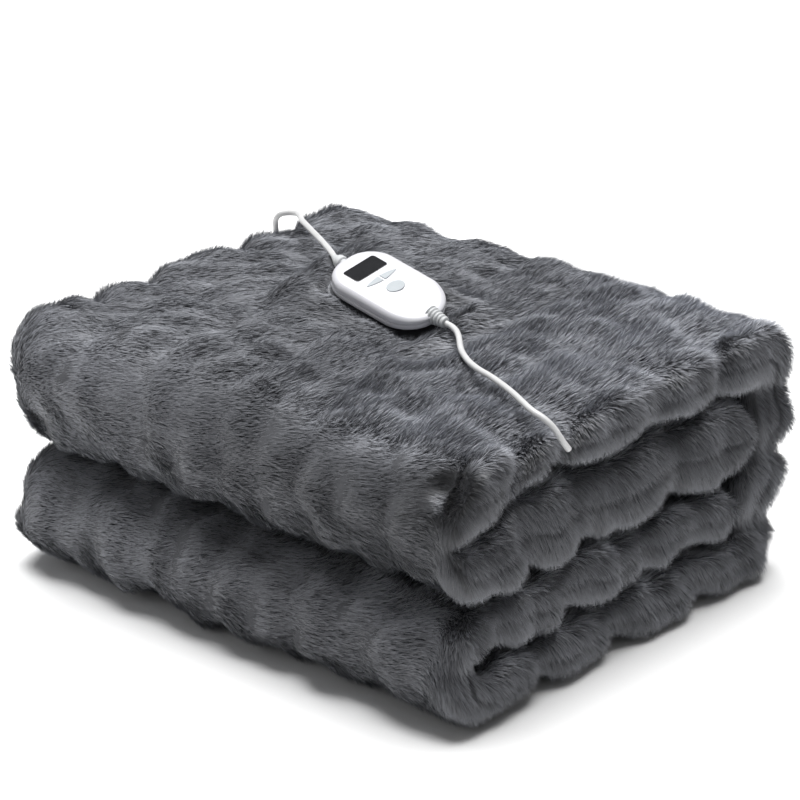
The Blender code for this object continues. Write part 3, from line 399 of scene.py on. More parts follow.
def plug_rings():
    """Sections from the neck to the face that the pins stand on."""
    end = PLUG_TAPER + PLUG_LENGTH
    key_along = (0.0, 0.0006, PLUG_TAPER * 0.6, PLUG_TAPER, PLUG_TAPER + 0.005, PLUG_TAPER + 0.010,
                 PLUG_TAPER + 0.018, end - 0.0015, end)
    key_width = (0.0078, 0.0084, 0.0100, 0.0150, 0.0205, 0.0262, PLUG_WIDTH - 0.002, PLUG_WIDTH,
                 PLUG_WIDTH - 0.0022)
    key_thickness = (0.0074, 0.0080, 0.0092, 0.0110, 0.0122, 0.0130, PLUG_THICKNESS, PLUG_THICKNESS,
                     PLUG_THICKNESS - 0.0022)
    along = np.unique(np.concatenate([np.linspace(0.0, end, 60), key_along]))
    width = np.interp(along, key_along, key_width)
    thickness = np.interp(along, key_along, key_thickness)
    turns = (along - GRIP_START) / GRIP_PITCH
    ribs = GRIP_DEPTH * (0.5 - 0.5 * np.cos(turns * 2 * np.pi))
    ribs = np.where((turns > 0.0) & (turns < GRIP_RIBS), ribs, 0.0)
    return [plug_ring(*section) for section in zip(along, width, thickness, ribs)]


plug_place = Matrix.Translation(Vector((*PLUG_PLACE, PLUG_THICKNESS / 2)))
plug = loft_piece("plug_moulding", plug_rings(), plug_pvc, plug_place)
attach(plug, "root")
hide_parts("plug_body")

end = PLUG_TAPER + PLUG_LENGTH
for side, node_name in ((-1, "plug_pin_left"), (1, "plug_pin_right")):
    rings = []
    for beyond, inset in ((CLEAR, 0.0), (PIN_LENGTH - 0.0016, 0.0), (PIN_LENGTH - 0.0006, 0.0003),
                          (PIN_LENGTH - 0.0002, 0.0007), (PIN_LENGTH, 0.0012)):
        radius = PIN_RADIUS - inset
        rings.append([(side * PIN_OFFSET + radius * math.cos(2 * math.pi * step / 32),
                       -end - beyond, radius * math.sin(2 * math.pi * step / 32))
                      for step in range(32)])
    pin = loft_piece(node_name + "_plated", rings, nickel, plug_place)
    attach(pin, "root")
    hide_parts(node_name)


# ================================================================ strain reliefs
# Moulded TPE boots where the leads leave the controller: a bent, stepped collar for the mains lead
# and a straight, ribbed taper for the blanket lead, both pushed into the shell from outside.

# Moulded TPE: soft and matte, a little greyer than the shells.
tpe = clouded_material("Moulded TPE", {"Roughness": 0.55, "IOR": 1.50}, ("#b8babb", "#c5c7c8"),
                       cloud=(160.0, 3.0), grain=(2600.0, 1.0), bump=(0.2, 0.0002))


LEAD_RELIEF_ROOT = 0.0092           # its radius where it stands in the shells
LEAD_RELIEF_TAPER = 0.0037
RIB_PITCH = 0.0036
RIB_DEPTH = 0.0014
RIBBED_LENGTH = 0.0180


def lead_relief_axis(along):
    """Middle of the straight boot of the blanket lead, and its heading."""
    return Vector((LEAD_RELIEF_START + along, 0.0, RELIEF_HEIGHT)), Vector((1.0, 0.0, 0.0))


def relief_piece(name, profile, axis):
    """A round piece whose radii follow a profile along an axis of the controller's frame."""
    rings = []
    for along, radius in profile:
        middle, heading = axis(along)
        across = heading.cross(Vector((0.0, 0.0, 1.0))).normalized()
        down = heading.cross(across)
        rings.append([tuple(middle + radius * (math.cos(2 * math.pi * side / 48) * across
                                               + math.sin(2 * math.pi * side / 48) * down))
                      for side in range(48)])
    return loft_piece(name, rings, tpe, CONTROLLER_PLACE)


def ribbed_profile():
    """Rounded ribs along the blanket lead's taper."""
    profile = []
    for step in range(97):
        along = LEAD_RELIEF_LENGTH * step / 96
        taper = LEAD_RELIEF_ROOT - LEAD_RELIEF_TAPER * along / LEAD_RELIEF_LENGTH
        wave = 0.5 - 0.5 * math.cos(2 * math.pi * along / RIB_PITCH)
        groove = RIB_DEPTH * wave ** 2 if along < RIBBED_LENGTH else 0.0
        profile.append((along, taper - groove))
    for place, radius in ((-3, 0.0051), (-2, 0.0049), (-1, 0.0044)):    # the rounded end
        profile[place] = (profile[place][0], radius)
    return profile


collar_profile = ((0.0, 0.0052), (0.0022, 0.0050), (0.0025, 0.0052), (0.0028, 0.0064),
                  (0.0034, 0.0070), (0.0045, 0.0072), (0.0074, 0.0071), (0.0084, 0.0068),
                  (0.0094, 0.0060), (0.0112, 0.0051), (0.0135, 0.0045), (0.0165, 0.0040),
                  (MAINS_RELIEF_LENGTH, 0.0035))
for name, profile, axis, node_name in (
        ("mains_relief_boot", collar_profile, mains_relief_arc, "mains_relief"),
        ("blanket_lead_boot", ribbed_profile(), lead_relief_axis, "lead_relief")):
    boot = relief_piece(name, profile, axis)
    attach(boot, "root")
    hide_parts(node_name)


# ================================================================ controller shells
# Two shells of white ABS, snapped together on a fine parting line. The upper one carries the
# display window and the buttons, and its face slopes down towards the blanket lead.

CONTROLLER_WIDTH = 0.0735
CONTROLLER_HEIGHT = 0.0195
CONTROLLER_CORNERS = (0.036, 0.0312)    # radii at the end of the blanket lead and at the other
PARTING_HEIGHT = 0.0085
DROOP = 0.0050                      # of the face at the end of the blanket lead
DROOP_START = 0.020
DROOP_LENGTH = 0.040

# Injection-moulded ABS: bright white with a soft shine and a barely visible spark grain.
abs_white = clouded_material("Injection-moulded ABS",
                             {"Roughness": 0.30, "IOR": 1.54, "Coat Weight": 0.15,
                              "Coat Roughness": 0.22},
                             ("#c9c9ce", "#d0d0d5"), cloud=(40.0, 2.0), grain=(2400.0, 2.0),
                             bump=(0.08, 0.0002))


def rounded_rectangle(centre_x, size_x, size_y, radii, points_per_corner):
    """An outline whose corners have one radius towards +X and another towards -X."""
    outline = []
    for x_sign, y_sign, start in ((1, 1, 0), (-1, 1, 90), (-1, -1, 180), (1, -1, 270)):
        radius = radii[x_sign < 0]
        for step in range(points_per_corner):
            angle = math.radians(start + 90 * step / (points_per_corner - 1))
            outline.append((centre_x + x_sign * (size_x / 2 - radius) + radius * math.cos(angle),
                            y_sign * (size_y / 2 - radius) + radius * math.sin(angle)))
    return outline


def controller_outline(inset):
    """Outline of the controller seen from above: tighter corners at the display end."""
    radii = [max(radius - inset, 0.004) for radius in CONTROLLER_CORNERS]
    return rounded_rectangle(0.0, CONTROLLER_LENGTH - 2 * inset, CONTROLLER_WIDTH - 2 * inset,
                             radii, 20)


def end_droop(x, z):
    """The upper shell's face slopes down towards the blanket lead."""
    share = (z - PARTING_HEIGHT) / (CONTROLLER_HEIGHT - PARTING_HEIGHT)
    t = min(max((x - DROOP_START) / DROOP_LENGTH, 0.0), 1.0)
    return z - DROOP * max(share, 0.0) * t * t * (3 - 2 * t)


def shell_rings(levels):
    """Rings of a shell through its (height, inset) levels."""
    return [[(x, y, end_droop(x, z)) for x, y in controller_outline(inset)]
            for z, inset in levels]


FACE_EDGE = (0.0066, 0.0068)        # inset and height of the rounded upper edge
BASE_EDGE = (0.0062, 0.0056)        # and of the lower one

# Heights and insets of the shells, each with a fine bevel along the parting line.
upper_levels = [(PARTING_HEIGHT, 0.0008), (PARTING_HEIGHT + 0.0004, 0.0003),
                (PARTING_HEIGHT + 0.0010, 0.0001), (CONTROLLER_HEIGHT - FACE_EDGE[1], 0.0001)]
for step in range(1, 13):
    turn = math.radians(90 * step / 12)
    upper_levels.append((CONTROLLER_HEIGHT - FACE_EDGE[1] * (1 - math.sin(turn)),
                         FACE_EDGE[0] * (1 - math.cos(turn))))
upper_levels += [(CONTROLLER_HEIGHT, inset)
                 for inset in (0.0074, 0.010, 0.014, 0.019, 0.024, 0.028)]
lower_levels = [(0.0, 0.0086)]
for step in range(11):
    turn = math.radians(90 * step / 10)
    lower_levels.append((BASE_EDGE[1] * (1 - math.cos(turn)),
                         BASE_EDGE[0] * (1 - math.sin(turn)) + 0.0001))
lower_levels += [(PARTING_HEIGHT - CLEAR - below, inset)
                 for below, inset in ((0.0008, 0.0001), (0.0003, 0.0004), (0.0, 0.0009))]

lower_shell = loft_piece("controller_base_shell", shell_rings(lower_levels), abs_white,
                         CONTROLLER_PLACE, sharp=50)
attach(lower_shell, "root")
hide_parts("controller_lower_shell")
upper_shell = loft_piece("controller_face_shell", shell_rings(upper_levels), abs_white,
                         CONTROLLER_PLACE, sharp=50)
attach(upper_shell, "root")
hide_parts("controller_upper_shell")


# ================================================================ display and buttons
# A dark acrylic window that stays blank, and three silicone buttons: two halves of a lens shape
# side by side, and an oval one. Each is sunk a little into the face of the upper shell.

DISPLAY_X = -0.0326
DISPLAY_SIZE = (0.0212, 0.0430)
DISPLAY_RADIUS = 0.0034
LENS_X = -0.0108
LENS_LENGTH = 0.0401
LENS_WIDTH = 0.0072
LENS_SPLIT = 0.0022
OVAL_X = 0.0080
OVAL_SIZE = (0.0150, 0.0210)
POCKET_DEPTH = 0.0012

# Polished acrylic, smoked dark: mirror-smooth, with a faint unevenness from moulding.
acrylic = clouded_material("Smoked acrylic", {"Roughness": 0.07, "IOR": 1.49, "Coat Weight": 0.6,
                                              "Coat Roughness": 0.03},
                           ("#17181a", "#222326"), cloud=(120.0, 1.0), grain=(120.0, 1.0),
                           bump=(0.03, 0.0003))

# Silicone rubber: pale blue-grey and matte, with a velvety grain.
silicone = clouded_material("Silicone rubber", {"Roughness": 0.52, "IOR": 1.43,
                                                "Sheen Weight": 0.15},
                            ("#a2a8ac", "#acb2b6"), cloud=(220.0, 3.0), grain=(3200.0, 1.0),
                            bump=(0.15, 0.0002))


def oval_outline(points=64):
    """Outline of the oval button."""
    return [(OVAL_X + OVAL_SIZE[0] / 2 * math.cos(2 * math.pi * step / points),
             OVAL_SIZE[1] / 2 * math.sin(2 * math.pi * step / points)) for step in range(points)]


def half_lens_outline(side, points=16):
    """Outline of one half of the lens shape, pointed at its far end."""
    start, end = LENS_SPLIT / 2, LENS_LENGTH / 2
    front, back = [], []
    for step in range(points):
        y = start + (end - start) * step / (points - 1)
        bulge = LENS_WIDTH / 2 * (1.0 - (y / (end + 0.0004)) ** 2) + 0.0003
        front.append((LENS_X + bulge, side * y))
        back.append((LENS_X - bulge, side * y))
    outline = front + back[::-1]
    return outline if side > 0 else outline[::-1]


def shrunk(outline, amount):
    """An outline moved inward by amount, point by point towards its middle."""
    middle = np.mean(outline, axis=0)
    moved = []
    for x, y in outline:
        reach = math.hypot(x - middle[0], y - middle[1])
        share = max(0.0, 1.0 - amount / reach)
        moved.append((middle[0] + (x - middle[0]) * share, middle[1] + (y - middle[1]) * share))
    return moved


def face_piece(name, outline, proud, crown, edge, material, node_name):
    """A window or button whose edge rounds over into a slightly crowned face."""
    floor = CONTROLLER_HEIGHT - POCKET_DEPTH + CLEAR
    top = CONTROLLER_HEIGHT + proud
    rings = [[(x, y, floor) for x, y in outline]]
    for step in range(7):
        turn = math.radians(90 * step / 6)
        inset, height = edge * (1 - math.cos(turn)), top - edge * (1 - math.sin(turn))
        rings.append([(x, y, height) for x, y in shrunk(outline, inset)])
    middle = np.mean(outline, axis=0)
    for share in (0.03, 0.35, 0.7):
        rings.append([(middle[0] + (x - middle[0]) * (1 - share),
                       middle[1] + (y - middle[1]) * (1 - share),
                       top + crown * (1 - (1 - share) ** 2))
                      for x, y in shrunk(outline, edge)])
    piece = loft_piece(name, rings, material, CONTROLLER_PLACE, sharp=60)
    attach(piece, "root")
    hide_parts(node_name)
    return piece


pane = rounded_rectangle(DISPLAY_X, *DISPLAY_SIZE, [DISPLAY_RADIUS] * 2, 10)
window = face_piece("display_pane", pane, proud=0.0002, crown=0.0, edge=0.0002,
                    material=acrylic, node_name="display_window")
for name, outline, node_name in (
        ("button_plus_cap", half_lens_outline(1), "button_plus"),
        ("button_minus_cap", half_lens_outline(-1), "button_minus"),
        ("button_power_cap", oval_outline(), "button_power")):
    button = face_piece(name, outline, proud=0.0006, crown=0.0003, edge=0.0004,
                        material=silicone, node_name=node_name)


# ================================================================ blanket cloth
# A throw of knitted polyester with a long pile, folded into a stack: two plies over two plies, each
# pair one rounded fold at the front. Gathered lines run round it and draw its edges into lobes.

BLANKET_WIDTH = 0.586
BLANKET_FRONT = -0.2675
BLANKET_BACK = 0.2675
Ply = namedtuple("Ply", "low high")
BOTTOM_PLY = Ply(low=0.0000, high=0.0580)
THIRD_PLY = Ply(low=0.0630, high=0.1210)
SECOND_PLY = Ply(low=0.1260, high=0.2070)
TOP_PLY = Ply(low=0.2130, high=0.2700)
FOLD_REACH = 0.072                  # from the front of a fold to where its plies run level
UPPER_GAP_REACH = 0.034             # and to where the two plies of the upper pair part
UPPER_GAP_DROOP = 0.019             # of the underside of the top ply there
BACK_TOP_RADIUS = 0.070
BACK_LOW_RADIUS = 0.050
BACK_THICKNESS = 0.078
BACK_STEP = 0.010                   # by which the lower half of the back stands further in
WALL_STEP = 0.016                   # and by which the inside of that cloth does
BACK_CREASE = 0.016
BACK_CREASE_HEIGHT = 0.135
BACK_CORNER_RISE = 0.006            # of the right end of the back's upper edge over its left end
INNER_RADIUS = 0.006
END_GAP = 0.005                     # between the free ends and the cloth down the back
END_LENGTH = 0.034                  # of their rounded tips
RIM_DEPTH = 0.024                   # of the rounding of the side edges
RIM_FULLNESS = 0.60                 # its power: less is fuller
LEFT_BULGE = 0.004                  # of the side edges towards the back
RIGHT_BULGE = 0.005
RUCHE_PITCH = 0.094                 # between the gathered lines that run round the stack
RUCHE_OFFSET = -0.013
GATHER_SOFTNESS = 0.017
GATHER_DEPTH = {"second": 0.0, "upper fold": 0.0062, "top": 0.0050, "back": 0.0065,
                "bottom": 0.0060, "lower fold": 0.0075, "third": 0.0}
LEFT_TUCK_DEPTH = 0.011             # at most, on the left side edge
LOBE_SAG = 0.008                    # of the cloth between the tucks of the ply under it
TOP_CROWN = 0.004                   # of the top ply, midway between its side edges
TUCK_SPREAD = 0.35                  # share of a tuck's depth that is left in the middle
PUCKER = (0.266, -0.246, 0.247)     # where the corner of the upper fold draws together
PUCKER_DEPTH = 0.018
PUCKER_RADIUS = 0.018
PUCKER_PULL = (-0.62, 0.70, -0.35)
SEAT_MARGIN = 0.004                 # round the controller, before its seat rises
SEAT_BLEND = 0.050
SEAT_RIM = 0.0075                   # how far the pile wells up round the controller
LEAD_SEAT = 0.0012                  # room under the leads
CLOTH_FLOOR = 0.0015                # least height of the cloth under its pile

Row = namedtuple("Row", "leg outer inner")
Tuck = namedtuple("Tuck", "leg at depth")

# Lines across the rows that draw the side edges in: Y on a ply, Z on the back, degrees on a fold.
TUCKS = (
    Tuck("second", 0.070, 0.013),
    Tuck("second", -0.055, 0.013),
    Tuck("second", -0.145, 0.012),
    Tuck("upper fold", -170, 0.018),
    Tuck("top", -0.155, 0.018),
    Tuck("top", -0.098, 0.022),
    Tuck("top", 0.045, 0.014),
    Tuck("top", 0.138, 0.014),
    Tuck("back", 0.200, 0.010),
    Tuck("back", 0.135, 0.006),
    Tuck("back", 0.060, 0.012),
    Tuck("bottom", 0.105, 0.012),
    Tuck("bottom", -0.015, 0.012),
    Tuck("bottom", -0.120, 0.012),
    Tuck("lower fold", -190, 0.008),
    Tuck("third", -0.185, 0.014),
    Tuck("third", -0.080, 0.013),
    Tuck("third", 0.030, 0.013),
    Tuck("third", 0.105, 0.012),
)


def unit(vectors):
    """Vectors brought to a length of 1."""
    return vectors / np.maximum(np.linalg.norm(vectors, axis=-1, keepdims=True), 1e-9)


def smooth_step(low, high, value):
    """0 below low, 1 above high, and a smooth rise between."""
    t = np.clip((np.asarray(value, dtype=float) - low) / (high - low), 0.0, 1.0)
    return t * t * (3.0 - 2.0 * t)


def straight_rows(leg, outer_ends, inner_ends, height_pair, count):
    """Rows along a level ply, both ends left out."""
    rows = []
    for step in range(1, count):
        t = step / count
        outer_y = outer_ends[0] + (outer_ends[1] - outer_ends[0]) * t
        inner_y = inner_ends[0] + (inner_ends[1] - inner_ends[0]) * t
        rows.append(Row(leg, (outer_y, height_pair[0]), (inner_y, height_pair[1])))
    return rows


def bend_rows(leg, centre, radii, degrees, inner_centre, inner_radius, count):
    """Rows round a bend, both ends taken in."""
    rows = []
    for step in range(count + 1):
        angle = math.radians(degrees[0] + (degrees[1] - degrees[0]) * step / count)
        outer = (centre[0] + radii[0] * math.cos(angle), centre[1] + radii[1] * math.sin(angle))
        inner = (inner_centre[0] + inner_radius * math.cos(angle),
                 inner_centre[1] + inner_radius * math.sin(angle))
        rows.append(Row(leg, outer, inner))
    return rows


def free_end_rows(leg, end_y, ply, outer_side, count):
    """Rows from the tip of a free end to its full thickness."""
    middle = (ply.low + ply.high) / 2
    half = (ply.high - ply.low) / 2
    rows = []
    for step in range(count + 1):
        angle = math.radians(14 + 76 * step / count)
        y = end_y - END_LENGTH * (1.0 - math.cos(angle))
        reach = half * math.sin(angle) * outer_side
        rows.append(Row(leg, (y, middle + reach), (y, middle - reach)))
    return rows


def back_outer_y(z):
    """The outside of the cloth that runs down the back, with its step and its crease."""
    step = BACK_STEP * (1.0 - smooth_step(BACK_CREASE_HEIGHT - 0.02, BACK_CREASE_HEIGHT + 0.02, z))
    crease = BACK_CREASE * math.exp(-((z - BACK_CREASE_HEIGHT) / 0.013) ** 2)
    return BLANKET_BACK - float(step) - crease


def section_rows(detail):
    """Rows of the folded cloth from one free end to the other; detail is their spacing."""
    upper_centre = (BLANKET_FRONT + FOLD_REACH, (SECOND_PLY.low + TOP_PLY.high) / 2)
    upper_gap = (BLANKET_FRONT + UPPER_GAP_REACH, (SECOND_PLY.high + TOP_PLY.low) / 2)
    lower_centre = (BLANKET_FRONT + FOLD_REACH, (BOTTOM_PLY.low + THIRD_PLY.high) / 2)
    lower_gap = (lower_centre[0], (BOTTOM_PLY.high + THIRD_PLY.low) / 2)
    wall_high = BLANKET_BACK - BACK_THICKNESS
    wall_low = wall_high - WALL_STEP
    second_end = wall_high - END_GAP
    third_end = wall_low - END_GAP
    back_high = TOP_PLY.high - BACK_TOP_RADIUS
    low_corner = (BLANKET_BACK - BACK_STEP - BACK_LOW_RADIUS, BACK_LOW_RADIUS)
    run = upper_centre[0]
    level, round_fold, tip, corner, rise = [      # steps on each kind of stretch, from its length
        round(length / detail) for length in (0.36, 0.22, 0.04, 0.10, 0.13)]

    rows = free_end_rows("second", second_end, SECOND_PLY, -1, tip)
    rows += straight_rows("second", (second_end - END_LENGTH, run),
                          (second_end - END_LENGTH, upper_gap[0]),
                          (SECOND_PLY.low, SECOND_PLY.high), level)
    rows += bend_rows("upper fold", upper_centre, (FOLD_REACH, (TOP_PLY.high - SECOND_PLY.low) / 2),
                      (-90, -270), upper_gap, (TOP_PLY.low - SECOND_PLY.high) / 2, round_fold)
    rows += straight_rows("top", (run, BLANKET_BACK - BACK_TOP_RADIUS),
                          (upper_gap[0], wall_high - INNER_RADIUS),
                          (TOP_PLY.high, TOP_PLY.low), level)
    rows += bend_rows("back", (BLANKET_BACK - BACK_TOP_RADIUS, back_high),
                      (BACK_TOP_RADIUS, BACK_TOP_RADIUS), (90, 0),
                      (wall_high - INNER_RADIUS, TOP_PLY.low - INNER_RADIUS), INNER_RADIUS, corner)
    inner_high = TOP_PLY.low - INNER_RADIUS
    inner_low = BOTTOM_PLY.high + INNER_RADIUS
    for step in range(1, rise):
        t = step / rise
        z = back_high + (BACK_LOW_RADIUS - back_high) * t
        inner_z = inner_high + (inner_low - inner_high) * t
        inner_y = wall_low + (wall_high - wall_low) * float(
            smooth_step(THIRD_PLY.high - 0.010, SECOND_PLY.low + 0.010, inner_z))
        rows.append(Row("back", (back_outer_y(z), z), (inner_y, inner_z)))
    rows += bend_rows("back", low_corner, (BACK_LOW_RADIUS, BACK_LOW_RADIUS), (0, -90),
                      (wall_low - INNER_RADIUS, inner_low), INNER_RADIUS, corner)
    rows += straight_rows("bottom", (low_corner[0], run), (wall_low - INNER_RADIUS, run),
                          (BOTTOM_PLY.low, BOTTOM_PLY.high), level)
    rows += bend_rows("lower fold", lower_centre,
                      (FOLD_REACH, (THIRD_PLY.high - BOTTOM_PLY.low) / 2), (-90, -270),
                      lower_gap, (THIRD_PLY.low - BOTTOM_PLY.high) / 2, round_fold)
    rows += straight_rows("third", (run, third_end - END_LENGTH), (run, third_end - END_LENGTH),
                          (THIRD_PLY.high, THIRD_PLY.low), level)
    rows += free_end_rows("third", third_end, THIRD_PLY, 1, tip)[::-1]
    return rows


def cusp(distance, softness):
    """1 on a gathered line and falling away quickly on both sides, with a rounded peak."""
    rounding = 0.35 * softness
    return np.exp(-(np.sqrt(distance ** 2 + rounding ** 2) - rounding) / softness)


def fold_degrees(row):
    """Where a row of a front fold lies on its bend, from -90 below to -270 above."""
    plies = (SECOND_PLY, TOP_PLY) if row.leg == "upper fold" else (BOTTOM_PLY, THIRD_PLY)
    centre_z = (plies[0].low + plies[1].high) / 2
    degrees = math.degrees(math.atan2(row.outer[1] - centre_z,
                                      row.outer[0] - BLANKET_FRONT - FOLD_REACH))
    return degrees - 360 if degrees > 0 else degrees


def place_on_leg(row):
    """The measure that a tuck's place is given in: Y on a ply, Z on the back, degrees on a fold."""
    if "fold" in row.leg:
        return fold_degrees(row)
    if row.leg == "back":
        return row.outer[1]
    return (row.outer[0] + row.inner[0]) / 2


def tuck_paths(rows, path):
    """The path length at which each tuck crosses the cloth."""
    places = []
    for tuck in TUCKS:
        misses = [abs(place_on_leg(row) - tuck.at) if row.leg == tuck.leg else math.inf
                  for row in rows]
        places.append(path[int(np.argmin(misses))])
    return np.array(places)


def shown_share(rows):
    """1 where the outer side is free to bulge, 0 where it lies on another ply or the floor."""
    share = []
    for row in rows:
        if row.leg in ("second", "third"):
            share.append(0.0)
        elif row.leg == "upper fold":
            share.append(float(smooth_step(95, 140, -fold_degrees(row))))
        elif row.leg == "lower fold":
            share.append(1.0 - float(smooth_step(220, 265, -fold_degrees(row))))
        elif row.leg == "bottom":
            run = BLANKET_FRONT + FOLD_REACH
            share.append(1.0 - float(smooth_step(run, run + 0.045, row.outer[0])))
        else:
            share.append(1.0)
    return np.array(share)


def sag_wave(leg, y, x):
    """How far the cloth under a leg rides up (+) at its tucks or sags (-) between them."""
    wave = np.zeros(np.broadcast(y, x).shape)
    for tuck in TUCKS:
        if tuck.leg == leg:
            sway = 0.012 * np.sin(x / 0.09 + 40.0 * tuck.at)
            wave = np.maximum(wave, cusp(y - tuck.at - sway * (1 - smooth_step(0.15, 0.26, x)),
                                         0.030))
    start = BLANKET_FRONT + FOLD_REACH
    window = smooth_step(start, start + 0.030, y) * (1.0 - smooth_step(0.125, 0.150, y))
    near_edge = 0.4 + 0.6 * smooth_step(0.13, 0.25, np.abs(x))
    shift = LOBE_SAG * (wave - 0.45) * window * near_edge
    if leg == "top":
        shift = shift - UPPER_GAP_DROOP * (1.0 - smooth_step(start + 0.010, start + 0.050, y))
    return shift


def draw_in_pucker(points):
    """Pull the corner of the upper fold in where the cloth draws together."""
    distance = np.linalg.norm(points - np.array(PUCKER), axis=2)
    pull = PUCKER_DEPTH * np.exp(-(distance / PUCKER_RADIUS) ** 2)
    points += pull[:, :, None] * unit(np.array(PUCKER_PULL))


def press_top(points, legs):
    """Bed the controller and the leads in the top ply, which wells up round the controller."""
    on_top = np.array([leg in ("top", "upper fold", "back") for leg in legs])
    place = np.array(CONTROLLER_PLACE)
    corner, along, across, up = place[:3, 3], place[:3, 0], place[:3, 1], place[:3, 2]
    top = points[on_top]
    x, y, z = top[:, :, 0], top[:, :, 1], top[:, :, 2]
    near_top = smooth_step(0.225, 0.245, z)
    plane = corner[2] - ((x - corner[0]) * up[0] + (y - corner[1]) * up[1]) / up[2]
    flat = np.dstack([x, y, plane]) - corner
    reach_x = np.abs(flat @ along) - CONTROLLER_LENGTH / 2
    reach_y = np.maximum(np.abs(flat @ across) - CONTROLLER_WIDTH / 2, 0.0)
    outside = np.hypot(np.maximum(reach_x - LEAD_RELIEF_LENGTH, 0.0), reach_y)
    bed = 1.0 - smooth_step(SEAT_MARGIN, SEAT_MARGIN + SEAT_BLEND, outside)
    z = z + (plane - 2.0 * CLEAR - z) * bed * near_top
    outside = np.hypot(np.maximum(reach_x, 0.0), reach_y)
    rim = smooth_step(0.001, 0.008, outside) * (1.0 - smooth_step(0.008, 0.045, outside))
    z = z + SEAT_RIM * rim
    for route in (BLANKET_LEAD_ROUTE, MAINS_LEAD_ROUTE):
        for x_at, y_at, z_at in smooth_route(route, 0.010):
            if z_at < TOP_PLY.high + 0.002:
                continue
            distance = np.hypot(x - x_at, y - y_at)
            limit = z_at - CORD_DIAMETER / 2 - LEAD_SEAT + 0.7 * np.maximum(distance - 0.016, 0.0)
            z = np.where(near_top > 0.0, np.minimum(z, limit), z)
    top[:, :, 2] = z
    points[on_top] = top


def blanket_points(detail, columns, rim_columns, softness):
    """Outer and inner points of the cloth, [row, column, xyz], and the leg of each row."""
    rows = section_rows(detail)
    legs = [row.leg for row in rows]
    outer = np.array([row.outer for row in rows])
    inner = np.array([row.inner for row in rows])
    middle = (outer + inner) / 2
    path = np.concatenate([[0.0], np.cumsum(np.linalg.norm(np.diff(middle, axis=0), axis=1))])
    places = tuck_paths(rows, path)
    depths = np.array([tuck.depth for tuck in TUCKS])

    drawn = np.max(depths * cusp(path[:, None] - places, softness), axis=1)[:, None]
    half_right = BLANKET_WIDTH / 2 - drawn
    half_left = BLANKET_WIDTH / 2 - np.minimum(drawn, LEFT_TUCK_DEPTH)
    half_left += LEFT_BULGE * (1.0 - smooth_step(-0.15, 0.0, middle[:, :1]))
    half_right += RIGHT_BULGE * smooth_step(0.0, 0.15, middle[:, :1])

    core = np.linspace(-1.0, 1.0, columns)[None, :]
    rim = np.radians(np.linspace(0.0, 89.0, rim_columns + 1)[1:])[None, :]
    rounding = RIM_DEPTH * (1.0 - np.sin(rim))
    x_core = core * (np.where(core > 0, half_right, half_left) - RIM_DEPTH)
    x = np.hstack([rounding[:, ::-1] - half_left, x_core, half_right - rounding])
    narrowed = np.cos(rim[0]) ** RIM_FULLNESS
    closing = np.concatenate([narrowed[::-1], np.ones(columns), narrowed])[None, :]

    along = path[:, None]
    wobble = 0.011 * np.sin(along / 0.060 + 1.1) + 0.006 * np.sin(along / 0.027 + 14.0 * x)
    phase = (x - RUCHE_OFFSET - wobble) / RUCHE_PITCH
    line = cusp(np.abs(phase - np.round(phase)) * RUCHE_PITCH, softness)
    meander = 0.020 * np.sin(x / 0.075 + 2.0) * (1.0 - smooth_step(0.16, 0.27, np.abs(x)))
    tuck_line = np.zeros(x.shape)
    for place, depth in zip(places, depths):
        tuck_line = np.maximum(tuck_line, depth * cusp(along - place - meander, 1.2 * softness))
    gather = np.array([GATHER_DEPTH[leg] for leg in legs])[:, None]
    uneven = 0.75 + 0.25 * np.sin(along / 0.045 + np.round(phase) * 2.4)
    edge = smooth_step(0.20, 0.275, np.abs(x))
    sunk = gather * uneven * line + tuck_line * (TUCK_SPREAD + (0.75 - TUCK_SPREAD) * edge)
    sunk = sunk * shown_share(rows)[:, None]

    tangent = unit(np.gradient(outer, axis=0))
    normal = np.column_stack([-tangent[:, 1], tangent[:, 0]])
    outer_y = outer[:, :1] - normal[:, :1] * sunk
    outer_z = outer[:, 1:] - normal[:, 1:] * sunk
    inner_y = np.broadcast_to(inner[:, :1], x.shape).copy()
    inner_z = np.broadcast_to(inner[:, 1:], x.shape).copy()

    for index, leg in enumerate(legs):
        if leg in ("second", "third"):
            outer_z[index] += sag_wave("second", outer[index, 0], x[index])
        if leg in ("second", "upper fold", "top"):
            inner_z[index] += sag_wave("top", inner[index, 0], x[index])
        if leg in ("bottom", "third"):
            inner_z[index] += sag_wave("third", inner[index, 0], x[index])
        if leg == "top":
            crown = TOP_CROWN * (1.0 - (x[index] / 0.29) ** 2)
            outer_z[index] += crown * smooth_step(-0.22, -0.08, outer[index, 0])
        if leg in ("top", "back"):
            far = smooth_step(-0.05, 0.15, outer[index, 0])
            far = far * smooth_step(0.20, 0.262, outer[index, 1])
            outer_z[index] += BACK_CORNER_RISE * x[index] / 0.29 * far
        if leg == "bottom":
            near_edge = smooth_step(0.225, 0.275, np.abs(x[index]))
            outer_z[index] += 0.8 * tuck_line[index] * near_edge

    middle_y = (outer_y + inner_y) / 2
    middle_z = (outer_z + inner_z) / 2
    outside, inside = [np.dstack([x, middle_y + (y - middle_y) * closing,
                                  middle_z + (z - middle_z) * closing])
                       for y, z in ((outer_y, outer_z), (inner_y, inner_z))]
    draw_in_pucker(outside)
    draw_in_pucker(inside)
    press_top(outside, legs)
    outside[:, :, 2] = np.maximum(outside[:, :, 2], 0.0)
    return outside, inside, legs


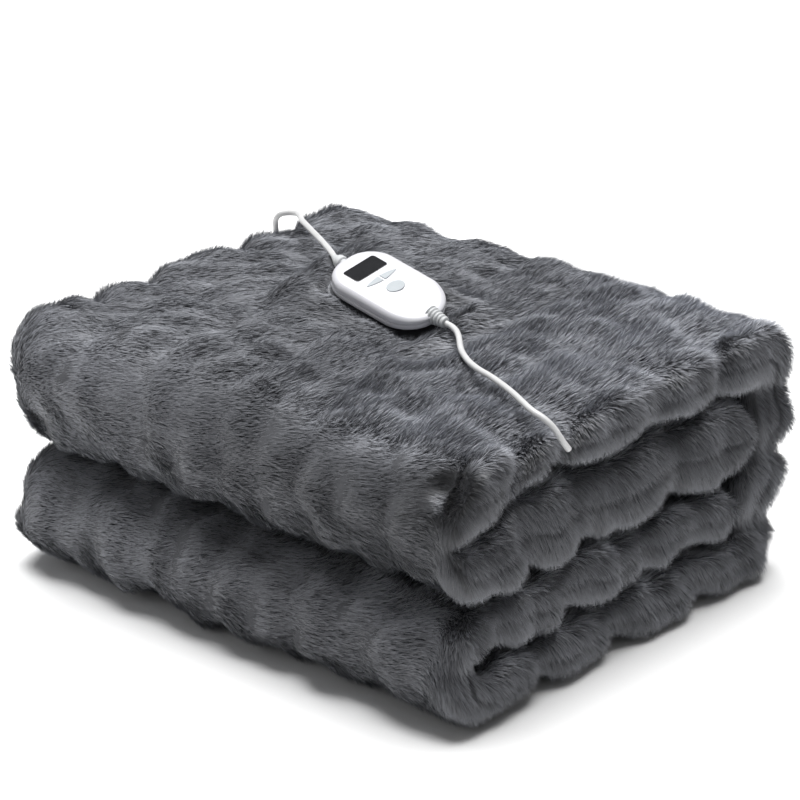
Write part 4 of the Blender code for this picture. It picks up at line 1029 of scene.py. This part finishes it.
def ring_faces(count, columns, half):
    """Faces of the closed cloth: its rings run round, and its two edges close it."""
    faces = []
    for column in range(columns - 1):
        for index in range(count):
            following = (index + 1) % count
            faces.append((index * columns + column, index * columns + column + 1,
                          following * columns + column + 1, following * columns + column))
    for index in range(half - 1):
        for column, turn in ((0, 1), (columns - 1, -1)):
            corners = (index, index + 1, count - 2 - index, count - 1 - index)
            faces.append(tuple(corner * columns + column for corner in corners[::turn]))
    return faces


def ring_normals(ring):
    """Outward normals at the points of the closed rings."""
    around = np.roll(ring, -1, axis=0) - np.roll(ring, 1, axis=0)
    across = np.gradient(ring, axis=1)
    return unit(np.cross(across, around))


def wave_field(points, wavelength, seed, waves=14):
    """A smooth random field and its gradient, from plane waves of about one wavelength."""
    source = np.random.default_rng(seed)
    headings = unit(source.normal(size=(waves, 3)))
    pace = 2 * np.pi / wavelength * source.uniform(0.7, 1.4, size=(waves, 1))
    shift = source.uniform(0, 2 * np.pi, size=waves)
    turned = points @ (headings * pace).T + shift
    scale = math.sqrt(2.0 / waves)
    value = np.sin(turned).sum(axis=1) * scale
    slope = np.cos(turned) @ (headings * pace) * scale
    return value, slope


def uprightness(points):
    """0 where the pile lies flat, on the left, and 1 where it stands up, towards the right."""
    return smooth_step(-0.16, 0.20, points[..., 0])


# The cloth lies inside the outer shape of the folded blanket, and its pile fills the rest. That is
# less deep where the pile lies flat than where it stands up.
FLAT_PILE_DEPTH = 0.0025
UPRIGHT_PILE_DEPTH = 0.0062
PUFF_HEIGHT = 0.0024                # soft unevenness between the gathered lines
PUFF_WIDTH = 0.052
RIPPLE_HEIGHT = 0.0016              # upright ripples along the front folds
RIPPLE_PITCH = 0.051

outer, inner, legs = blanket_points(detail=0.0070, columns=100, rim_columns=12,
                                    softness=GATHER_SOFTNESS)
ring = np.concatenate([outer, inner[::-1]], axis=0)
normals = ring_normals(ring)
if np.mean(normals[: len(outer)][[leg == "top" for leg in legs]][:, 40, 2]) < 0:
    normals = -normals
puff, _ = wave_field(ring.reshape(-1, 3), PUFF_WIDTH, seed=5)
puff = puff.reshape(ring.shape[:2])
depth = FLAT_PILE_DEPTH + (UPRIGHT_PILE_DEPTH - FLAT_PILE_DEPTH) * uprightness(ring)
ripple = np.sin(2 * np.pi * ring[:, :, 0] / RIPPLE_PITCH + 1.1 * np.sin(ring[:, :, 2] / 0.040))
ripple = ripple * smooth_step(0.17, 0.23, -ring[:, :, 1])
swell = PUFF_HEIGHT * puff + RIPPLE_HEIGHT * ripple
cloth = ring - normals * (depth - swell)[:, :, None]
cloth[:, :, 2] = np.maximum(cloth[:, :, 2], CLOTH_FLOOR)

# Knitted backing: dark grey loops about 1.2 mm across, seen only between the roots of the pile.
backing, shader = start_material("Knitted polyester backing", {"Roughness": 0.95, "IOR": 1.45})
place = add_node(backing, "ShaderNodeTexCoord")
loops = add_node(backing, "ShaderNodeTexVoronoi", {"Scale": 830.0}, {"Vector": (place, "Object")})
two_tone(backing, shader, (loops, "Distance"), ("#3e3f42", "#4a4b4f"))
relief = add_node(backing, "ShaderNodeBump", {"Strength": 0.5, "Distance": 0.0004},
                  {"Height": (loops, "Distance")})
wire(backing, relief, "Normal", shader, "Normal")

mesh = bpy.data.meshes.new("blanket_cloth")
mesh.from_pydata(cloth.reshape(-1, 3).tolist(), [], ring_faces(*ring.shape[:2], len(outer)))
mesh.update()
mesh.shade_smooth()
mesh.materials.append(backing)
blanket_cloth = bpy.data.objects.new("blanket_cloth", mesh)
bpy.context.scene.collection.objects.link(blanket_cloth)
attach(blanket_cloth, "root")
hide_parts("blanket")


# ================================================================ pile
# Long polyester pile, knitted into the backing and brushed towards the right side edge. It lies
# flat on the left, stands up more towards the right, and clings together in small locks.

PILE_LENGTH = 0.0125
STRANDS = 795000
PIECE_STRANDS = 190000              # in one piece, a triangle each
STRAND_WIDTH = 0.00064              # at the root: a few real fibres, so that it shows
LOCK_SIZE = 0.0042                  # between locks of pile that cling together
FLAT_LEAN = 77.0                    # degrees from upright, on the left
UPRIGHT_LEAN = 42.0                 # towards the right
ROOM_REACH = 0.030                  # how far the pile looks for other cloth above it
LEAD_GAP = 0.0006                   # between the pile and a lead
OVER_LEAD = 0.0030                  # no pile above a lead this near to its middle
OPEN_LEAD = (-0.283, 0.195)         # X between which that holds
BOOT_GAP = 0.0066                   # from the middle of a boot to the pile
OVER_BOOT = 0.0060
PRESS_REACH = 0.007                 # pile this near the controller is pressed upright
PRESSED_SHARE = 0.36                # of a strand's length that then shows as height
PRESSED_OUT = 0.0015
CROWN_RADIUS = 0.034                # of the pile that fans out round the pucker
# Wavelength, seed and strength of the two waves by which the brushing wanders.
WANDER = ((0.090, 21, 0.11), (0.028, 22, 0.05))
TONE_SPAN = 1.5                     # of the pile's tone, painted light and shade included, between the darkest and the lightest pile

# Polyester pile: darker at the root and a silky mid grey to its tips, so that the roots paint shade
# into the gaps and creases where they show; each strand's shade holds its own random tone and
# painted light and shade by place.
pile_fibre, shader = start_material("Brushed polyester pile", {"Roughness": 0.52, "IOR": 1.50,
                                                               "Sheen Weight": 0.10,
                                                               "Sheen Roughness": 0.4})
strand_map = add_node(pile_fibre, "ShaderNodeUVMap", {"uv_map": "strand"})
split = add_node(pile_fibre, "ShaderNodeSeparateXYZ", links={"Vector": (strand_map, "UV")})
along_strand = add_node(pile_fibre, "ShaderNodeValToRGB", links={"Fac": (split, "Y")})
along_strand.color_ramp.elements[0].color = linear("#5a5b60")
along_strand.color_ramp.elements[1].color = linear("#a2a4ab")
middle_stop = along_strand.color_ramp.elements.new(0.38)
middle_stop.color = linear("#7b7d82")
# each strand's factor from its tint, which carries painted light and shade by place as well as its
# own random tone
shade = add_node(pile_fibre, "ShaderNodeMapRange", {"To Min": 0.10, "To Max": 1.90},
                 {"Value": (split, "X")})
fibre_colour = add_node(pile_fibre, "ShaderNodeMix",
                        {"data_type": "RGBA", "blend_type": "MULTIPLY", "Factor": 1.0})
wire(pile_fibre, along_strand, "Color", fibre_colour, 6)
wire(pile_fibre, shade, "Result", fibre_colour, 7)
wire(pile_fibre, fibre_colour, 2, shader, "Base Color")


def shown_density(ring, legs):
    """Pile at each point of the rings: none deep between the plies or under the blanket."""
    density = smooth_step(0.225, 0.262, np.abs(ring[:, :, 0]))
    for index, leg in enumerate(legs):
        if leg == "bottom":
            density[index] *= smooth_step(0.001, 0.008, ring[index, :, 2])
        elif leg in ("second", "third"):
            front = 1.0 - smooth_step(-0.215, -0.190, ring[index, :, 1])
            density[index] = np.maximum(density[index], front)
        else:
            density[index] = 1.0
    return density


def sample_roots(cloth, normals, rooms, density, number, seed):
    """Roots spread evenly over the cloth where there is pile, with the normal and room at each."""
    source = np.random.default_rng(seed)
    grid = np.concatenate([cloth, normals, rooms[:, :, None]], axis=2)
    beneath = np.roll(grid, -1, axis=0)
    p00, p10, p01, p11 = cloth[:, :-1], beneath[:, :-1, :3], cloth[:, 1:], beneath[:, 1:, :3]
    area = np.linalg.norm(np.cross(p01 - p00, p10 - p00), axis=2)
    area = area + np.linalg.norm(np.cross(p11 - p10, p11 - p01), axis=2)
    weight = area * (density[:, :-1] + np.roll(density, -1, axis=0)[:, 1:]) / 2
    cells = source.choice(weight.size, number, p=(weight / weight.sum()).ravel())
    row, column = np.unravel_index(cells, weight.shape)
    u, v = source.random((2, number, 1))
    value = ((1 - u) * (1 - v) * grid[row, column] + (1 - u) * v * grid[row, column + 1]
             + u * (1 - v) * beneath[row, column] + u * v * beneath[row, column + 1])
    return value[:, :3], unit(value[:, 3:6]), value[:, 6]


def less_along(vectors, axes):
    """Vectors less their part along unit axes."""
    return vectors - axes * np.sum(vectors * axes, axis=1)[:, None]


def brushed(points, facing):
    """The way the pile is brushed at each point, along the cloth."""
    right = smooth_step(0.235, 0.285, points[:, :1])
    left = smooth_step(0.245, 0.285, -points[:, :1])
    front = smooth_step(0.18, 0.25, -points[:, 1:2])
    heading = np.tile([1.0, 0.10, 0.0], (len(points), 1))
    heading = heading * (1 - front) + np.array([1.0, 0.0, 0.28]) * front
    heading = heading * (1 - right) + np.array([0.25, 0.0, -1.0]) * right
    heading = heading * (1 - left) + np.array([0.50, 0.10, 0.8]) * left
    away = points - np.array(PUCKER)
    distance = np.linalg.norm(away, axis=1)[:, None]
    crown = np.exp(-(distance / CROWN_RADIUS) ** 2)
    beyond = smooth_step(-0.006, 0.010, away[:, :1])
    heading = heading * (1 - crown * beyond)
    heading += away / np.maximum(distance, 1e-6) * crown * (1.9 * beyond - 0.7)
    for wavelength, seed, strength in WANDER:
        _, slope = wave_field(points, wavelength, seed)
        heading = heading + strength * slope * wavelength / 6.3
    return unit(less_along(heading, facing))


def rooms_above(cloth, normals, tree, reach):
    """How far each point of the cloth can see along its normal before it meets cloth again."""
    rooms = np.full(cloth.shape[:2], reach)
    for place in np.ndindex(rooms.shape):
        hit = tree.ray_cast(Vector(cloth[place] + normals[place] * 0.001), Vector(normals[place]),
                            reach)
        if hit[3] is not None:
            rooms[place] = hit[3]
    return rooms


def nearest_on_line(points, line):
    """Distance of each point from the nearest of a line's points, and that point."""
    nearest = np.empty(len(points))
    which = np.empty(len(points), dtype=int)
    for start in range(0, len(points), 20000):
        block = points[start:start + 20000]
        gaps = np.linalg.norm(block[:, None, :] - line[None, :, :], axis=2)
        which[start:start + 20000] = np.argmin(gaps, axis=1)
        nearest[start:start + 20000] = np.min(gaps, axis=1)
    return nearest, line[which]


def painted_light_tone(roots, facing):
    """Painted light and shade on the pile, by place: lighter on the top towards its right end and
    its back and darker across its middle, darker on most of the front and lighter at the front's
    left end, darker on the right side, and a painted shadow round the pucker.
    """
    x, y, z = roots.T
    upright = uprightness(roots)
    upward = smooth_step(0.55, 0.90, facing[:, 2])      # shares of the top, front and right faces
    on_front = smooth_step(0.20, 0.70, -facing[:, 1])
    on_right = smooth_step(0.30, 0.80, facing[:, 0])
    upper_fold = smooth_step(0.115, 0.150, z)
    tone = upward * (0.42 * upright ** 2 - 0.60 * upright * (1.0 - upright)
                     + 0.13 * smooth_step(0.08, 0.22, y))
    tone -= on_front * (0.20 + 0.10 * upper_fold) * smooth_step(-0.20, 0.06, x)
    tone += 0.07 * on_front * upper_fold * smooth_step(0.10, 0.25, -x)
    tone -= 0.08 * on_front * upper_fold * smooth_step(0.05, 0.20, x)
    tone -= on_right * (0.20 + 0.12 * np.exp(-((z - 0.165) / 0.030) ** 2))
    distance = np.linalg.norm(roots - np.array(PUCKER) - np.array([0.004, 0.008, -0.002]), axis=1)
    return tone - 0.26 * np.exp(-(distance / 0.048) ** 2) - 0.46 * np.exp(-(distance / 0.021) ** 2)


def grow_pile(cloth, normals, rooms, density, number, seed):
    """Corners of tapering strands, [strand, corner, xyz], with their tint, which carries painted
    light and shade by place as well as each strand's own tone, and their normals.
    """
    source = np.random.default_rng(seed)
    roots, facing, room = sample_roots(cloth, normals, rooms, density, number, seed)
    keep = (room > 0.004) & (roots[:, 2] > 0.002)
    roots, facing, room = roots[keep], facing[keep], room[keep]
    number = len(roots)
    lie = brushed(roots, facing) + source.normal(0.0, 0.09, (number, 3))
    lie = unit(less_along(lie, facing))

    lock, pull = wave_field(roots, LOCK_SIZE, seed=31)
    broad, _ = wave_field(roots, 0.045, seed=33)
    length = PILE_LENGTH * source.uniform(0.70, 1.12, number) * (1.0 + 0.06 * lock)
    length = np.minimum(length, 1.15 * room + 0.003)
    on_front = smooth_step(0.20, 0.70, -facing[:, 1])
    on_front = on_front * (1.0 - smooth_step(0.235, 0.270, roots[:, 0]))
    lean = FLAT_LEAN + (UPRIGHT_LEAN - FLAT_LEAN) * uprightness(roots) * (1.0 - on_front)
    lean = np.radians(lean + 3.0 * broad + source.normal(0.0, 5.0, number))[:, None]
    reach = length[:, None] * (facing * np.cos(lean) + lie * np.sin(lean))
    tips = roots + reach + 0.0004 * less_along(pull, facing) * LOCK_SIZE / 6.3
    axis = unit(tips - roots)
    side = unit(np.cross(axis, facing))
    twist = source.normal(0.0, 0.5, number)[:, None]
    side = side * np.cos(twist) + np.cross(axis, side) * np.sin(twist)
    half_width = STRAND_WIDTH / 2 * source.uniform(0.75, 1.25, number)[:, None]
    strands = np.stack([roots - side * half_width, roots + side * half_width, tips], axis=1)
    # painted light and shade by place, plus a random tone for each strand and for each lock
    tone = painted_light_tone(roots, facing) + 0.040 * source.normal(size=number) + 0.02 * lock
    tint = np.clip(0.5 + tone / TONE_SPAN, 0.02, 0.98)
    sheen = 0.65 * facing + 0.60 * unit(less_along(facing, axis))
    return strands, tint, unit(sheen)


def beside_controller(points):
    """Distance of points from the controller's outline, less than 0 over, under or in it."""
    to_local = np.array(CONTROLLER_PLACE.inverted())
    local = points @ to_local[:3, :3].T + to_local[:3, 3]
    corner = np.where(local[:, 0] > 0.0, *CONTROLLER_CORNERS)
    away_x = np.maximum(np.abs(local[:, 0]) - (CONTROLLER_LENGTH / 2 - corner), 0.0)
    away_y = np.maximum(np.abs(local[:, 1]) - (CONTROLLER_WIDTH / 2 - corner), 0.0)
    return np.where(np.abs(local[:, 2]) < 0.06, np.hypot(away_x, away_y) - corner, 1.0)


def stand_beside_controller(strands):
    """Pile close to the controller is pressed upright along its side."""
    beside = beside_controller(strands[:, 0])
    tips_on_it = beside_controller(strands[:, 2]) < 2 * CLEAR
    pressed = (beside > 0.0004) & ((beside < PRESS_REACH) | tips_on_it)
    roots = strands[pressed, :2].mean(axis=1)
    outward = roots - np.array(CONTROLLER_CENTRE)
    outward[:, 2] = 0.0
    outward = unit(outward)
    height = PRESSED_SHARE * np.linalg.norm(strands[pressed, 2] - roots, axis=1)[:, None]
    upright = roots + PRESSED_OUT * outward + height * np.array([0.0, 0.0, 1.0])
    share = 1.0 - 0.75 * smooth_step(0.002, 0.009, beside[pressed])[:, None]
    strands[pressed, 2] += (upright - strands[pressed, 2]) * share
    return strands


def clear_of_leads(strands):
    """Which strands neither touch nor hide the leads, their boots and the controller."""
    line = np.vstack([smooth_route(route, 0.002)
                      for route in (BLANKET_LEAD_ROUTE, MAINS_LEAD_ROUTE)])
    boots = [mains_relief_arc(MAINS_RELIEF_LENGTH * step / 10)[0] for step in range(11)]
    boots += [lead_relief_axis(LEAD_RELIEF_LENGTH * step / 10)[0] for step in range(11)]
    boots = np.array([CONTROLLER_PLACE @ middle for middle in boots])
    keep = np.ones(len(strands), dtype=bool)
    middles, tips = strands.mean(axis=1), strands[:, 2]
    low, high = line.min(axis=0) - 0.02, line.max(axis=0) + 0.02
    close = np.flatnonzero(np.all((tips > low) & (tips < high), axis=1))
    for points in (middles, tips):
        gap, beside = nearest_on_line(points[close], line)
        on_lead = gap < CORD_DIAMETER / 2 + LEAD_GAP
        over_lead = (np.hypot(*(points[close, :2] - beside[:, :2]).T) < OVER_LEAD) & (
            points[close, 2] > beside[:, 2]) & (
            beside[:, 0] > OPEN_LEAD[0]) & (beside[:, 0] < OPEN_LEAD[1])
        gap, beside = nearest_on_line(points[close], boots)
        over_boot = (np.hypot(*(points[close, :2] - beside[:, :2]).T) < OVER_BOOT) & (
            points[close, 2] > beside[:, 2] - 0.003)
        keep[close[on_lead | over_lead | over_boot | (gap < BOOT_GAP)]] = False
    for points in (strands[:, 0], middles, tips):
        keep[beside_controller(points) < -0.001] = False
    return keep


def strand_piece(name, strands, tint, sheen):
    """One mesh of strands, a triangle each, shaded with the pile's own normals."""
    number = len(strands)
    mesh = bpy.data.meshes.new(name)
    mesh.vertices.add(number * 3)
    mesh.vertices.foreach_set("co", strands.reshape(-1).astype(np.float32))
    mesh.loops.add(number * 3)
    mesh.loops.foreach_set("vertex_index", np.arange(number * 3, dtype=np.int32))
    mesh.polygons.add(number)
    mesh.polygons.foreach_set("loop_start", np.arange(0, number * 3, 3, dtype=np.int32))
    mesh.update(calc_edges=True)
    mesh.shade_smooth()
    height = np.tile([0.02, 0.02, 0.98], number)
    uv = np.column_stack([np.repeat(tint, 3), height]).reshape(-1).astype(np.float32)
    for layer_name in ("strand", "OFBake"):
        mesh.uv_layers.new(name=layer_name).uv.foreach_set("vector", uv)
    mesh.normals_split_custom_set_from_vertices(np.repeat(sheen, 3, axis=0).tolist())
    mesh.materials.append(pile_fibre)
    piece = bpy.data.objects.new(name, mesh)
    bpy.context.scene.collection.objects.link(piece)
    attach(piece, "root")


cloth_tree = BVHTree.FromObject(blanket_cloth, bpy.context.evaluated_depsgraph_get())
rooms = rooms_above(cloth, normals, cloth_tree, ROOM_REACH)
density = shown_density(ring, legs)
strands, tint, sheen = grow_pile(cloth, normals, rooms, density, STRANDS, seed=7)
strands = stand_beside_controller(strands)
keep = clear_of_leads(strands) & (strands[:, :, 2].min(axis=1) > 0.0003)
strands, tint, sheen = strands[keep], tint[keep], sheen[keep]
outward = np.cross(strands[:, 1] - strands[:, 0], strands[:, 2] - strands[:, 0])
flip = np.sum(outward * sheen, axis=1) < 0
strands[flip] = strands[flip][:, [1, 0, 2]]
for start in range(0, len(strands), PIECE_STRANDS):
    part = slice(start, start + PIECE_STRANDS)
    strand_piece("pile_%d" % (start // PIECE_STRANDS + 1), strands[part], tint[part], sheen[part])


# ================================================================ floor and light
# A plain pale floor, a wide soft light from above, a weak front fill and a dim white room.

FLOOR_REACH = 30

# Matte studio paint on board: near white, with a trace of roller texture.
paint = clouded_material("Matte studio paint", {"Roughness": 0.9, "IOR": 1.45},
                         ("#f4f4f4", "#f7f7f7"), cloud=(260.0, 2.0))

floor_mesh = bpy.data.meshes.new("studio_floor")
floor_mesh.from_pydata([(-FLOOR_REACH, -FLOOR_REACH, 0), (FLOOR_REACH, -FLOOR_REACH, 0),
                        (FLOOR_REACH, FLOOR_REACH, 0), (-FLOOR_REACH, FLOOR_REACH, 0)],
                       [], [(0, 1, 2, 3)])
floor_mesh.materials.append(paint)
studio_floor = bpy.data.objects.new("studio_floor", floor_mesh)
bpy.context.scene.collection.objects.link(studio_floor)


def add_light(name, kind, power, shines, spot=(0.0, 0.0, 0.0)):
    """A light of a kind that shines along a line; its data."""
    data = bpy.data.lights.new(name, kind)
    data.energy = power
    light = bpy.data.objects.new(name, data)
    light.location = spot
    light.rotation_euler = Vector(shines).to_track_quat("-Z", "Y").to_euler()
    bpy.context.scene.collection.objects.link(light)
    return data


front_fill = add_light("front_fill", "AREA", 6.5, (1.3, 2.6, -1.4), (-1.3, -2.6, 1.5))
front_fill.shape = "RECTANGLE"
front_fill.size = front_fill.size_y = 1.6
lit_ceiling = add_light("lit_ceiling", "SUN", 5.3, (0.12, -0.10, -1.0))
lit_ceiling.angle = math.radians(50)

world = bpy.data.worlds.new("studio")
world.use_nodes = True
world.node_tree.nodes["Background"].inputs["Color"].default_value = (1.0, 1.0, 1.0, 1.0)
world.node_tree.nodes["Background"].inputs["Strength"].default_value = 0.16
bpy.context.scene.world = world
